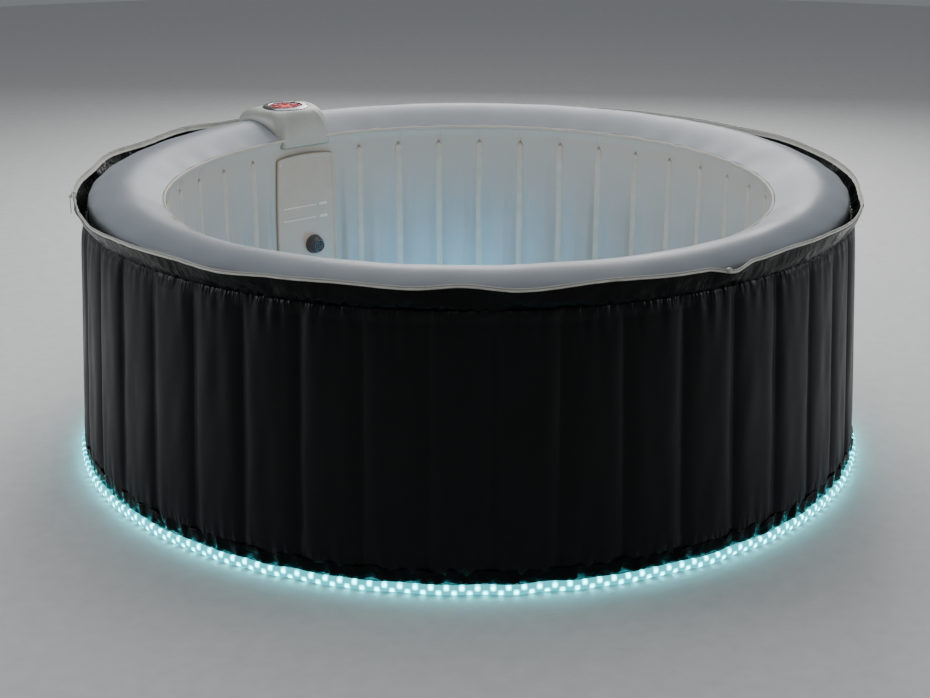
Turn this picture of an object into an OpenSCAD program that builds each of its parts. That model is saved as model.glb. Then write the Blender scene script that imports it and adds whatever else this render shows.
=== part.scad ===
// Round inflatable hot tub with a built-in control unit, a quilted jacket, a zip collar and a light tape.
// The origin is on the ground under the centre of the tub, +Z is up, and the control unit is on +Y.
// All sizes are in millimetres.

/* [Tub] */
// Outer diameter of the jacket's hem, at the foot of the wall
outer_d = 2040; // [1700:2:2450]
// Clear diameter between the inner walls
inner_d = 1584; // [1320:2:1620]
// Height of the rim's crest above the ground
height = 700; // [580:1:840]
// How far the outer wall leans in between the ground and the crest
wall_lean = 40; // [0:1:60]
// Thickness of the welded PVC sheet
sheet_t = 1.2; // [0.8:0.1:2]
// Number of tension webs between the inner and the outer wall
web_count = 40; // [30:2:54]
// Radius of the wall's rounded foot
foot_curve_r = 40; // [20:1:60]
// How far the rim's crest stands above the seam with the inner wall
rim_rise = 45; // [30:1:60]
// How far the crest stands above the rim's outer edge
rim_fall = 28; // [15:1:40]
// How far the rim reaches in past the inner wall
rim_overhang = 10; // [4:1:20]
// Thickness of the foam floor pad
floor_t = 6; // [4:0.5:12]

/* [Ribs and bubble channel] */
// Width of the welded strips on the inner wall
strip_w = 22; // [14:1:30]
// Thickness of a welded strip
strip_t = 2; // [1:0.5:4]
// Outer size of the bubble channel's section
channel_w = 26; // [18:1:36]
// Wall of the bubble channel
channel_wall = 2; // [1:0.5:4]
// Number of air jets in the bubble channel
jet_count = 84; // [42:6:132]
// Diameter of an air jet
jet_d = 3; // [2:0.5:5]

/* [Jacket, collar and zip] */
// Thickness of the quilted jacket
jacket_t = 12; // [6:1:18]
// Thickness of the hem's band
hem_t = 3; // [1.5:0.5:5]
// Height of the hem's band
hem_h = 30; // [18:1:50]
// Height of the collar's free band
collar_h = 44; // [30:1:60]
// How far the collar flares out between its foot and the zip
collar_flare = 20; // [6:1:30]
// Thickness of the collar
collar_t = 2; // [1:0.5:4]
// Width of the zip's tape above the collar
tape_w = 9; // [7:1:16]
// Radius of the zip's coil
coil_r = 1.8; // [1.4:0.1:3]
// Place of the slider round the tub, from +X
slider_angle = 154; // [100:1:200]
// Place of the zip's two ends round the tub, from +X
zip_end_angle = 265; // [230:1:300]

/* [Light tape] */
// Height of the clear sleeve
sleeve_h = 24; // [18:1:32]
// Depth of the clear sleeve
sleeve_w = 10; // [8:0.5:14]
// Wall of the clear sleeve
sleeve_wall = 1.5; // [1:0.25:2.5]
// Number of light emitters in each of the two rows
led_count = 192; // [96:8:240]
// Number of clips that hold the sleeve
clip_count = 21; // [12:1:30]

/* [Control unit] */
// Width of the inner panel
panel_w = 212; // [180:1:240]
// Height of the inner panel's top above the ground
panel_top = 606; // [480:1:610]
// Height of the inner panel's foot above the ground
panel_foot = 48; // [44:1:80]
// Thickness of the inner panel
panel_t = 3.5; // [2.5:0.5:6]
// Height of the upper water mark
mark_high = 447; // [400:1:470]
// Height of the lower water mark
mark_low = 409; // [340:1:430]
// Height of the return nozzle
nozzle_z = 326; // [300:1:350]
// Place of the return nozzle to the right of the panel's middle line
nozzle_x = 20; // [-40:1:40]
// Diameter of the nozzle's flange
nozzle_d = 58; // [46:1:70]
// Height of the filter inlet
filter_z = 156; // [140:1:170]
// Diameter of the filter's cage
cage_d = 104; // [90:1:120]
// Length of the filter's cage
cage_len = 96; // [80:1:110]
// Half width of the cover at its inner edge
cover_inner_half = 80; // [74:1:92]
// Half width of the cover at its outer edge
cover_outer_half = 128; // [110:1:150]
// Wall of the moulded cover
cover_wall = 3; // [2:0.5:4]
// Height of the cover's flat top above the rim's crest
cover_rise = 29; // [26:1:44]
// Outer diameter of the chrome bezel
bezel_d = 136; // [128:1:144]
// Diameter of the red control panel
pad_d = 98; // [92:1:102]
// Diameter of the two large buttons
big_button_d = 24; // [20:0.5:26]
// Diameter of the four small buttons
small_button_d = 17; // [14:0.5:18]
// Travel of a button
button_travel = 1.2; // [0.6:0.1:2]

/* [Valves] */
// Angle of the inflation valve and of the drain from the control unit, moved to the nearest gap between webs
valve_turn = 27; // [22:1:60]
// Diameter of the inflation valve's neck
valve_neck_d = 40; // [32:1:50]
// Height of the inflation valve above the ground
valve_z = 140; // [110:1:240]
// Diameter of the drain's neck
drain_neck_d = 30; // [24:1:36]
// Height of the drain above the ground
drain_z = 66; // [62:1:80]
// Bore of the cable gland
gland_bore_d = 10; // [8:0.5:12]

/* [Hidden] */
$fn = 64;

// Facets of the large rings
ring_fn = 128;
// A cut that runs out past a face overshoots it by this much
over = 1;
// Far enough to pass the whole tub
far = outer_d;

// Clearances
fit = 0.5;        // between still pieces that stand face to face
weld_gap = 0.4;   // under a welded strip or bead
film_gap = 0.05;  // under a printed mark or a screw's head
run_gap = 0.05;   // radial, round a turning pin or shaft
cap_gap = 0.08;   // radial, between a turning cap and its neck

// Tub
inner_r = inner_d / 2;
seam_r = inner_r - rim_overhang;
seam_z = height - rim_rise;
edge_z = height - rim_fall;
hem_r = outer_d / 2;
wall_gap = 1;
function lean(z) = wall_lean * z / height;
function jacket_out(z) = hem_r - hem_t - fit - lean(z);
function jacket_in(z) = jacket_out(z) - jacket_t;
function wall_out(z) = jacket_in(z) - wall_gap;
edge_r = wall_out(edge_z);
floor_top = sheet_t + fit + floor_t;
wall_foot = sheet_t + fit;
foot_c = wall_out(foot_curve_r) - foot_curve_r;
wall_top = edge_z - 2 * sheet_t - fit;
neck_drop = 26;
neck_r = seam_r + 3;
neck_top = seam_z - 4;
web_end = 50;
bead_r = 3;

// Jacket, collar and zip
jacket_foot = sleeve_h + 6;
jacket_top = height - 68;
collar_foot_r = jacket_out(jacket_top);
collar_top = jacket_top + collar_h;
collar_bend = 0.55;
collar_bend_in = 2;
zip_r = collar_foot_r + collar_flare;
tape_t = 1.6;
tape_z = collar_top + 1;
coil_z = tape_z + tape_w + coil_r;
coil_mid = zip_r - tape_t / 2;
slider_len = 24;
slider_h = 10;
slider_gap = 1.6;
slider_wall = 2;
slider_in = coil_mid - coil_r - slider_gap;
slider_out = coil_mid + coil_r + slider_gap;
slider_top = coil_z + coil_r + slider_gap;
pin_r = 1.25;
pin_out = 4;
pin_y = slider_out + slider_wall + pin_out;
pin_z = coil_z - 6;
puller_len = 44;
puller_w = 9;
puller_t = 2.4;

// Light tape
sleeve_r = hem_r + 7;
sleeve_z = 3;
sleeve_in = sleeve_r - sleeve_w;
tape_r = sleeve_r - sleeve_w / 2;
row_gap = 12;

// Control unit
panel_corner = 28;
panel_y = sqrt(inner_r * inner_r - panel_w * panel_w / 4) - panel_t - wall_gap;
panel_back = panel_y + panel_t;
screw_inset = 7;
screw_r = 1.5;
screw_slack = 0.7;
casing_w = panel_w - 20;
casing_foot = panel_foot + 14;
casing_top = panel_top - 18;
casing_wall = 3;
casing_front = panel_back + fit;
casing_back = wall_out(casing_top) - 12;
pocket_w = panel_w + 70;
pocket_top = seam_z - 8;
door_w = panel_w + 24;
door_foot = 96;
door_top = panel_top - 36;
door_t = 4;
door_lap = 10;
pad_y = inner_r + 91;
pad_z = height + cover_rise;
plate_t = 3;
plate_sink = 0.5;
bezel_h = 5;
bezel_lift = 0.2;
duct_w = 90;
duct_d = 56;
duct_wall = 2.5;
duct_top = height + 8;
cover_inner_y = seam_r - 12;
cover_outer_y = edge_r - 4;
cover_lip_z = seam_z - 24;
pipe_r = 13;
pipe_wall = 2.5;
port_r = pipe_r + 7;
gland_z = 150;
gland_r = gland_bore_d / 2 + 4;

// Pump, heater and blower, all behind the panel
pump_y = casing_front + 70;
pump_r = 40;
pump_len = 26;
pump_wall = 3;
impeller_r = 30;
shaft_r = 4;
outlet_x = -pump_r + 9;
outlet_y = pump_y + pump_len / 2;
outlet_top = filter_z + 56;
motor_r = 34;
motor_len = 60;
rotor_r = 12;
heater_r = 24;
heater_foot = 240;
heater_top = 400;
blower_y = pump_y - 20;
blower_z = 492;
blower_r = 50;
blower_len = 70;
blower_wall = 4;
blower_shaft_r = 5;
air_y = casing_back - 40;

// Control pad: the centres and radii of its buttons, round the pad's centre
big_x = 31;
small_x = 16;
small_y = 28;
button_z = pad_z + plate_t + button_travel;
big_r = big_button_d / 2;
small_r = small_button_d / 2;
BUTTONS = [
    [-big_x, 0, big_r], [big_x, 0, big_r],
    [-small_x, small_y, small_r], [small_x, small_y, small_r],
    [-small_x, -small_y, small_r], [small_x, -small_y, small_r]
];
window = [30, 15];
key_foot = pad_z - 3;
board_t = 1.6;
board_z = pad_z - 9;

// Valves: each sits midway between two webs
web_step = 360 / web_count;
valve_angle = 90 - round(valve_turn / web_step) * web_step;
drain_angle = 90 + round(valve_turn / web_step) * web_step;
valve_r = valve_neck_d / 2;
drain_r = drain_neck_d / 2;
grip_w = 3;

// Crown of the rim: a sine hump, with its crest past the middle, over the line from the inner seam to the outer edge
crest_share = 0.6;
rim_skew = 1.25;
rim_fullness = 0.8;
rim_steps = 24;
rim_hump = height - seam_z - (edge_z - seam_z) * crest_share;
function rim_point(s, grow) = [
    seam_r + (edge_r - seam_r) * s,
    seam_z + (edge_z - seam_z) * s + rim_hump * pow(sin(180 * pow(s, rim_skew)), rim_fullness) + grow
];
function rim_path(grow) = [for (i = [0:rim_steps]) rim_point(i / rim_steps, grow)];
function arc(cx, cy, r, from, to, steps) =
    [for (i = [0:steps]) let (a = from + (to - from) * i / steps) [cx + r * cos(a), cy + r * sin(a)]];
function reversed(p) = [for (i = [len(p) - 1:-1:0]) p[i]];

// Places of the four screws that hold the panel to the casing
SCREWS = [
    for (x = [-casing_w / 2 + screw_inset, casing_w / 2 - screw_inset])
        for (z = [casing_foot + screw_inset, casing_top - screw_inset]) [x, z]
];

// Turns its children out of the Y axis to an angle round the tub
module at_angle(a) { rotate([0, 0, a - 90]) children(); }
// A cylinder whose axis runs along +Y
module along_y(y, z, r, len, x = 0) { translate([x, y, z]) rotate([-90, 0, 0]) cylinder(h = len, r = r); }
// A cylinder whose axis runs along +X
module along_x(x, y, z, r, len) { translate([x, y, z]) rotate([0, 90, 0]) cylinder(h = len, r = r); }
// A box given by its two corners
module span(a, b) { translate(a) cube(b - a); }
// A solid of revolution round the tub's axis
module revolve(points) { rotate_extrude($fn = ring_fn) polygon(points); }
// A ring between two radii
module ring(r0, r1, z0, z1) {
    rotate_extrude() translate([r0, z0]) square([r1 - r0, z1 - z0]);
}

// A round bead on a ring
module torus(ring_r, z, r) {
    rotate_extrude($fn = ring_fn) translate([ring_r, z]) circle(r = r, $fn = 32);
}

// A plate in the XZ plane with rounded corners, from y to y + t
module rounded_plate(w, z0, z1, r, y, t) {
    union() {
        span([-w / 2 + r, y, z0], [w / 2 - r, y + t, z1]);
        span([-w / 2, y, z0 + r], [w / 2, y + t, z1 - r]);
        for (x = [-w / 2 + r, w / 2 - r], z = [z0 + r, z1 - r]) along_y(y, z, r, t, x);
    }
}

// A tube along Z
module tube(r, wall, z0, z1) {
    difference() {
        translate([0, 0, z0]) cylinder(h = z1 - z0, r = r);
        translate([0, 0, z0 - over]) cylinder(h = z1 - z0 + 2 * over, r = r - wall);
    }
}

// A tube along +Y
module tube_y(y, z, r, wall, len, x = 0) {
    difference() {
        along_y(y, z, r, len, x);
        along_y(y - over, z, r - wall, len + 2 * over, x);
    }
}

// Ribs round a cap's side, along +Y
module grip(y, z, r, rise, len, count) {
    for (i = [0:count - 1])
        translate([0, y, z]) rotate([0, i * 360 / count, 0])
            span([-grip_w / 2, 0, r - grip_w], [grip_w / 2, len, r + rise]);
}

// What passes through the outer wall and the jacket: the rear door's opening, the valve and the drain
module wall_openings() {
    half = door_w / 2 - door_lap;
    span([-half, 0, door_foot + door_lap], [half, far, door_top - door_lap]);
    at_angle(valve_angle) along_y(inner_r, valve_z, valve_r + fit, far);
    at_angle(drain_angle) along_y(inner_r, drain_z, drain_r + fit, far);
}

// ---- Bladder ----
function wall_path(inset) = concat(
    arc(foot_c, foot_curve_r + wall_foot, foot_curve_r - inset, -90, 0, 8),
    [[edge_r - inset, wall_top]]
);

module outer_wall() {
    color("dimgray")
    difference() {
        revolve(concat(wall_path(0), reversed(wall_path(sheet_t))));
        wall_openings();
    }
}

module inner_wall() {
    color("gainsboro")
    difference() {
        revolve([
            [inner_r, floor_top + fit], [inner_r + sheet_t, floor_top + fit],
            [inner_r + sheet_t, seam_z - neck_drop + 2], [neck_r + sheet_t, neck_top],
            [neck_r, neck_top], [inner_r, seam_z - neck_drop]
        ]);
        span([-casing_w / 2 - fit, 0, casing_foot - fit], [casing_w / 2 + fit, far, casing_top + fit]);
        at_angle(drain_angle) along_y(inner_r - 20, drain_z, drain_r + fit, 60);
    }
}

module top_rim() {
    slot = [duct_w / 2 + fit, duct_d / 2 + fit];
    color("lightgray")
    difference() {
        revolve(concat(rim_path(0), reversed(rim_path(-2 * sheet_t))));
        span([-slot[0], pad_y - slot[1], seam_z], [slot[0], pad_y + slot[1], pad_z]);
    }
}

module base_sheet() { color("gray") cylinder(h = sheet_t, r = foot_c); }

module floor_pad() {
    color("silver") translate([0, 0, sheet_t + fit]) cylinder(h = floor_t, r = inner_r - 2 * fit);
}

// Angle of web i: the control unit is midway between two
function web_angle(i) = 90 + (i + 0.5) * web_step;
// Whether a place at web i is within half a width of the control unit's middle line
function near_unit(i, half) = sin(web_angle(i)) > 0 && abs(inner_r * cos(web_angle(i))) < half;
function web_out(z) = wall_out(z) - sheet_t - fit;
web_in = inner_r + sheet_t + fit;

module tension_webs() {
    top = seam_z - web_end;
    side_gap = 12;
    color("whitesmoke")
    for (i = [0:web_count - 1])
        if (!near_unit(i, pocket_w / 2 + side_gap))
            at_angle(web_angle(i)) rotate([90, 0, 90]) linear_extrude(height = sheet_t, center = true)
                polygon([[web_in, web_end], [web_out(web_end), web_end], [web_out(top), top], [web_in, top]]);
}

// Two walls that close the air chamber on each side of the control unit
module pocket_liner() {
    foot = wall_foot + foot_curve_r;
    half = pocket_w / 2;
    color("gray")
    intersection() {
        revolve([[web_in, foot], [web_out(foot_curve_r) - 3 * fit, foot], [web_out(pocket_top), pocket_top],
                 [web_in, pocket_top]]);
        difference() {
            span([-half, 0, 0], [half, far, height]);
            span([-half + sheet_t, -over, -over], [half - sheet_t, far + over, height + over]);
        }
    }
}

// One strip hides each web's weld, and the panel takes the place of those near +Y
module weld_strips() {
    foot = channel_w + 20;
    round_z = seam_z - web_end - strip_w / 2;
    face = inner_r - strip_t - weld_gap;
    color("antiquewhite")
    for (i = [0:web_count - 1])
        if (!near_unit(i, panel_w / 2 + strip_w / 2 + 2))
            at_angle(web_angle(i)) union() {
                span([-strip_w / 2, face, foot], [strip_w / 2, face + strip_t, round_z]);
                along_y(face, round_z, strip_w / 2, strip_t);
            }
}

module rim_bead() { color("antiquewhite") torus(seam_r - bead_r - weld_gap, seam_z - bead_r, bead_r); }

// A hollow channel with a slanted inner face, and a ring of air jets that blow up and in
module bubble_channel() {
    foot = floor_top + fit;
    x1 = inner_r - fit;
    x0 = x1 - channel_w;
    mid = channel_w / 2;
    w = channel_wall;
    color("lightgray")
    difference() {
        revolve([
            [x0, foot], [x1, foot], [x1, foot + channel_w], [x0 + mid, foot + channel_w], [x0, foot + mid]
        ]);
        revolve([
            [x0 + 2 * w, foot + w], [x1 - w, foot + w], [x1 - w, foot + channel_w - w],
            [x0 + mid + w / 2, foot + channel_w - w], [x0 + 2 * w, foot + mid - w / 2]
        ]);
        for (i = [0:jet_count - 1])
            at_angle(i * 360 / jet_count) translate([0, x0 + mid, foot + mid]) rotate([45, 0, 0])
                cylinder(h = channel_w, d = jet_d, $fn = 16);
    }
}

// ---- Jacket, collar and zip ----
module jacket() {
    color("black")
    difference() {
        revolve([
            [jacket_in(jacket_foot), jacket_foot], [jacket_out(jacket_foot), jacket_foot],
            [jacket_out(jacket_top), jacket_top], [jacket_in(jacket_top), jacket_top]
        ]);
        wall_openings();
    }
}

module jacket_hem() {
    r = jacket_out(jacket_foot) + fit;
    notch = 7;
    color("black")
    difference() {
        ring(r, r + hem_t, jacket_foot, jacket_foot + hem_h);
        at_angle(drain_angle) along_y(inner_r, drain_z, drain_r + notch, far);
    }
}

module collar() {
    bend_z = jacket_top + collar_h * collar_bend;
    bend_r = zip_r - collar_bend_in;
    color("black")
    revolve([
        [collar_foot_r - collar_t, jacket_top + fit], [collar_foot_r, jacket_top + fit], [bend_r, bend_z],
        [zip_r, collar_top], [zip_r - collar_t, collar_top], [bend_r - collar_t, bend_z]
    ]);
}

module zip_tape() { color("silver") ring(zip_r - tape_t, zip_r, tape_z, tape_z + tape_w - fit); }

module zip_coil() { color("gray") torus(coil_mid, coil_z, coil_r); }

// A hood over the two ends of the coil
module zip_end_box() {
    half = 6;
    gap = coil_r + weld_gap;
    color("dimgray") at_angle(zip_end_angle) difference() {
        span([-half, coil_mid - half, coil_z - half], [half, coil_mid + half, coil_z + half]);
        ring(coil_mid - gap, coil_mid + gap, coil_z - 2 * half, coil_z + gap);
    }
}

// Two cheeks and a roof over the coil, with two ears that hold the puller's pin
module zip_slider() {
    half = slider_len / 2;
    foot = coil_z - slider_h;
    roof = slider_top + slider_wall;
    ear_t = 2;
    ear_h = 2.4;
    ear_x = puller_w / 2 + 1;
    color("whitesmoke") at_angle(slider_angle) union() {
        span([-half, slider_out, foot], [half, slider_out + slider_wall, roof]);
        span([-half, slider_in - slider_wall, foot], [half, slider_in, roof]);
        span([-half, slider_in - slider_wall, slider_top], [half, slider_out + slider_wall, roof]);
        for (x = [-ear_x - ear_t, ear_x])
            span([x, slider_out + slider_wall / 2, pin_z - ear_h], [x + ear_t, pin_y + ear_h, pin_z + ear_h]);
        translate([-ear_x - ear_t, pin_y, pin_z]) rotate([0, 90, 0])
            cylinder(h = 2 * (ear_x + ear_t), r = pin_r, $fn = 32);
    }
}

// The tab hangs from the slider's pin
module zip_puller() {
    eye_r = pin_r + 1.5;
    end_r = puller_w / 2;
    hole_r = 2;
    color("white") at_angle(slider_angle) translate([0, pin_y, pin_z])
        difference() {
            union() {
                rotate([0, 90, 0]) translate([0, 0, -puller_w / 2]) cylinder(h = puller_w, r = eye_r, $fn = 32);
                span([-end_r, -puller_t / 2, -puller_len + end_r], [end_r, puller_t / 2, 0]);
                along_y(-puller_t / 2, -puller_len + end_r, end_r, puller_t);
            }
            rotate([0, 90, 0]) translate([0, 0, -puller_w]) cylinder(h = 2 * puller_w, r = pin_r + run_gap, $fn = 32);
            along_y(-puller_t, -puller_len + puller_w, hole_r, 2 * puller_t);
        }
}

// ---- Light tape ----
module light_sleeve() {
    top = sleeve_z + sleeve_h;
    color("lightcyan", 0.6)
    difference() {
        ring(sleeve_in, sleeve_r, sleeve_z, top);
        ring(sleeve_in + sleeve_wall, sleeve_r - sleeve_wall, sleeve_z + sleeve_wall, top - sleeve_wall);
    }
}

module light_tape() {
    inset = sleeve_wall + fit;
    circuit_t = 0.6;
    color("white") ring(tape_r - circuit_t, tape_r, sleeve_z + inset, sleeve_z + sleeve_h - inset);
}

// Two rows, each half a step from the other
module light_emitters() {
    size = [5, 1.6, 3];
    lift = 0.1;
    mid = sleeve_z + sleeve_h / 2;
    color("cyan")
    for (row = [-1, 1], i = [0:led_count - 1])
        at_angle((i + row / 4) * 360 / led_count)
            translate([-size[0] / 2, tape_r + lift, mid + row * row_gap / 2 - size[2] / 2]) cube(size);
}

// C-shaped clips behind the sleeve
module sleeve_clips() {
    half = 6;
    depth = 4;
    wall = 2;
    color("lightgray")
    for (i = [0:clip_count - 1])
        at_angle((i + 0.5) * 360 / clip_count) difference() {
            span([-half, sleeve_in - depth, sleeve_z - wall / 2],
                 [half, sleeve_in - fit, sleeve_z + sleeve_h + wall / 2]);
            span([-half - over, sleeve_in - depth + wall, sleeve_z + wall],
                 [half + over, sleeve_in, sleeve_z + sleeve_h - wall]);
        }
}

module light_connector() {
    half = 16;
    inset = 1.5;
    color("dimgray") at_angle(90)
        span([-half, sleeve_in - half, sleeve_z + inset], [half, sleeve_in - fit, sleeve_z + sleeve_h - inset]);
}

// ---- Control unit ----
// The two round ports that the panel and the casing share, past both faces of a wall that starts at y
module ports(y, wall) {
    along_y(y - over, nozzle_z, pipe_r + fit, wall + 2 * over, nozzle_x);
    along_y(y - over, filter_z, port_r + fit, wall + 2 * over);
}

module inner_panel() {
    color("tan")
    difference() {
        rounded_plate(panel_w, panel_foot, panel_top, panel_corner, panel_y, panel_t);
        ports(panel_y, panel_t);
        for (s = SCREWS) along_y(panel_y - over, s[1], screw_r + screw_slack, panel_t + 2 * over, s[0]);
    }
}

// Two level bars, each followed by a short plain block
module water_marks() {
    bar = [-82, 32];
    block = [42, 70];
    bar_h = 1.8;
    block_h = 4;
    back = panel_y - film_gap;
    front = back - 1.2;
    color("ivory")
    for (z = [mark_high, mark_low]) {
        span([bar[0], front, z - bar_h], [bar[1], back, z + bar_h]);
        span([block[0], front, z - block_h], [block[1], back, z + block_h]);
    }
}

module control_casing() {
    w = casing_w / 2;
    wall = casing_wall;
    duct = [duct_w / 2 - duct_wall, duct_d / 2 - duct_wall];
    color("silver")
    difference() {
        span([-w, casing_front, casing_foot], [w, casing_back, casing_top]);
        span([-w + wall, casing_front + wall, casing_foot + wall], [w - wall, casing_back + over, casing_top - wall]);
        ports(casing_front, wall);
        span([-duct[0], pad_y - duct[1], casing_top - wall - over], [duct[0], pad_y + duct[1], casing_top + over]);
        along_x(w - wall - over, air_y, blower_z, pipe_r + fit, wall + 2 * over);
        for (s = SCREWS) along_y(casing_front - over, s[1], screw_r + 0.1, 3 * wall, s[0]);
    }
}

// A curved door that follows the jacket, with louvres
module rear_door() {
    corner = 16;
    louvre_side = 48;
    louvre_half = door_w / 2 - louvre_side;
    louvre_h = 5;
    louvre_step = 14;
    louvre_foot = 330;
    louvre_count = 10;
    screw_in = 14;
    foot_r = jacket_out(door_foot) + fit;
    top_r = jacket_out(door_top) + fit;
    color("dimgray")
    difference() {
        intersection() {
            revolve([
                [foot_r, door_foot], [foot_r + door_t, door_foot], [top_r + door_t, door_top], [top_r, door_top]
            ]);
            rounded_plate(door_w, door_foot, door_top, corner, 0, far);
        }
        for (i = [0:louvre_count - 1])
            translate([0, 0, louvre_foot + i * louvre_step])
                span([-louvre_half, inner_r, 0], [louvre_half, far, louvre_h]);
        along_y(inner_r, gland_z, gland_r + fit, far);
        for (x = [-door_w / 2 + screw_in, door_w / 2 - screw_in], z = [door_foot + screw_in, door_top - screw_in])
            along_y(inner_r, z, screw_r + screw_slack, far, x);
    }
}

module neck_duct() {
    outer = [duct_w / 2, duct_d / 2];
    inner = [outer[0] - duct_wall, outer[1] - duct_wall];
    foot = casing_top + fit;
    color("silver")
    difference() {
        span([-outer[0], pad_y - outer[1], foot], [outer[0], pad_y + outer[1], duct_top]);
        span([-inner[0], pad_y - inner[1], foot - over], [inner[0], pad_y + inner[1], duct_top + over]);
    }
}

// Outer form of the cover, grown by g: a fan-shaped foot blended into a round flat top
module cover_form(g) {
    foot_h = 8;
    lip_h = 26;
    inner_corner = 10;
    inner_shoulder = 18;
    outer_corner = 22;
    outer_shoulder = 16;
    hull($fn = 32) {
        for (s = [-1, 1]) {
            translate([s * (cover_inner_half - inner_corner), cover_inner_y + inner_corner, cover_lip_z])
                cylinder(h = lip_h, r = inner_corner + g);
            translate([s * (cover_inner_half - 20), cover_inner_y + 38, pad_z - inner_shoulder - 5])
                sphere(r = inner_shoulder + g);
            translate([s * (cover_outer_half - outer_corner), cover_outer_y - outer_corner, edge_z])
                cylinder(h = foot_h, r = outer_corner + g);
            translate([s * (cover_outer_half - 34), cover_outer_y - 36, pad_z - outer_shoulder - 6])
                sphere(r = outer_shoulder + g);
        }
        translate([0, pad_y, pad_z - foot_h + g]) cylinder(h = foot_h, r = bezel_d / 2 + 6);
    }
}

module control_cover() {
    seat_gap = 0.8;
    rim_gap = 7;
    hole_r = pad_d / 2 + 6;
    color("darkgray")
    difference() {
        cover_form(0);
        cover_form(-cover_wall);
        revolve(concat([[seam_r - rim_gap, 0], [seam_r - rim_gap, seam_z + 2]], rim_path(seat_gap),
                       [[far, edge_z], [far, 0]]));
        translate([0, pad_y, height]) cylinder(h = 2 * cover_rise, r = hole_r);
    }
}

// ---- Control pad ----
module bezel_ring() {
    bore = pad_d / 2 + weld_gap;
    foot = pad_z + bezel_lift;
    top = pad_z + bezel_h;
    color("lightgray")
    translate([0, pad_y, 0]) rotate_extrude($fn = ring_fn) polygon([
        [bore, foot], [bezel_d / 2, foot], [bezel_d / 2 - 1, foot + 2],
        [bezel_d / 2 - 6, top], [bore + 1.6, top], [bore, top - 1.4]
    ]);
}

module pad_plate() {
    color("darkred") translate([0, pad_y, pad_z - plate_sink]) difference() {
        cylinder(h = plate_t, r = pad_d / 2);
        for (b = BUTTONS) translate([b[0], b[1], -over]) cylinder(h = plate_t + 2 * over, r = b[2] + 0.3);
        translate([-window[0] / 2, -window[1] / 2, -over]) cube([window[0], window[1], plate_t + 2 * over]);
    }
}

module display_window() {
    size = [window[0] - 0.2, window[1] - 0.2, plate_t + 0.4];
    color("red") translate([-size[0] / 2, pad_y - size[1] / 2, pad_z - plate_sink]) cube(size);
}

// Each cap has a flange under the plate, and stands over its switch
module button(b) {
    flange = [1, 1.6];
    color("firebrick") translate([b[0], pad_y + b[1], key_foot]) union() {
        cylinder(h = button_z - key_foot, r = b[2]);
        cylinder(h = flange[1], r = b[2] + flange[0]);
    }
}

// The pad's board, with a square switch under each cap
module keypad_board() {
    switch_w = 6;
    switch_top = key_foot - button_travel - weld_gap;
    color("darkgreen") union() {
        translate([0, pad_y, board_z]) cylinder(h = board_t, r = pad_d / 2 + 3);
        for (b = BUTTONS) translate([b[0] - switch_w / 2, pad_y + b[1] - switch_w / 2, board_z])
            cube([switch_w, switch_w, switch_top - board_z]);
    }
}

// ---- Inside the casing ----
// The main board stands on edge beside the pump, with four relays
module control_board() {
    x = casing_w / 2 - casing_wall - 10;
    foot = 230;
    top = 420;
    relay = [16, 20, 26];
    relay_step = [30, 34];
    color("darkgreen") union() {
        span([x, pump_y - 40, foot], [x + board_t, casing_back - 12, top]);
        for (i = [0:3])
            translate([x - relay[0] + 0.1, pump_y - 30 + i * relay_step[0], foot + 20 + i * relay_step[1]])
                cube(relay);
    }
}

module pump_housing() {
    outlet_w = 18;
    color("dimgray")
    difference() {
        union() {
            along_y(pump_y, filter_z, pump_r, pump_len);
            span([-pump_r, outlet_y - outlet_w / 2, filter_z],
                 [-pump_r + outlet_w, outlet_y + outlet_w / 2, outlet_top]);
        }
        along_y(pump_y + pump_wall, filter_z, impeller_r + 2, pump_len - 2 * pump_wall);
        along_y(pump_y - over, filter_z, pipe_r - pipe_wall, pump_wall + 2 * over);
        along_y(pump_y + pump_len - 2 * pump_wall, filter_z, shaft_r + run_gap, 2 * pump_wall + over);
        translate([outlet_x, outlet_y, filter_z]) cylinder(h = outlet_top - filter_z + over, r = 6);
    }
}

module pump_motor() {
    cavity = [rotor_r + 2, motor_len - 10];
    color("black")
    difference() {
        along_y(pump_y + pump_len + fit, filter_z, motor_r, motor_len);
        along_y(pump_y + pump_len, filter_z, cavity[0], cavity[1]);
    }
}

// Vaned wheel on a shaft with the motor's magnet
module pump_impeller() {
    front = pump_y + 5;
    vane_h = 10;
    disc_t = 3;
    hub_r = 7;
    magnet = [32, 38];
    color("white") union() {
        along_y(front + vane_h, filter_z, impeller_r, disc_t);
        for (i = [0:5])
            translate([0, front, filter_z]) rotate([0, i * 60, 0])
                span([-1.2, 0, hub_r - 1], [1.2, vane_h + 0.1, impeller_r - 1]);
        along_y(front, filter_z, hub_r, vane_h + 0.1);
        along_y(front + vane_h, filter_z, shaft_r, magnet[0] + magnet[1] - vane_h);
        along_y(pump_y + magnet[0], filter_z, rotor_r, magnet[1]);
    }
}

// A steel tube with a collar at each end, over the pump's outlet
module heater_tube() {
    collar = [5, 7, 10];
    color("silver") translate([outlet_x, outlet_y, 0]) union() {
        tube(heater_r, 2, heater_foot, heater_top);
        for (z = [heater_foot, heater_top - collar[2]]) tube(heater_r + collar[0], collar[1], z, z + collar[2]);
    }
}

module blower_housing() {
    inlet_r = 24;
    boss = [26, 24];
    color("dimgray")
    difference() {
        union() {
            along_y(blower_y, blower_z, blower_r, blower_len);
            along_y(blower_y + blower_len - 0.1, blower_z, boss[0], boss[1]);
        }
        along_y(blower_y + blower_wall, blower_z, blower_r - blower_wall, blower_len - 2 * blower_wall);
        along_y(blower_y - over, blower_z, inlet_r, blower_wall + 2 * over);
        along_y(blower_y + blower_len - 5, blower_z, blower_shaft_r + run_gap, boss[1] + 6);
    }
}

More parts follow.
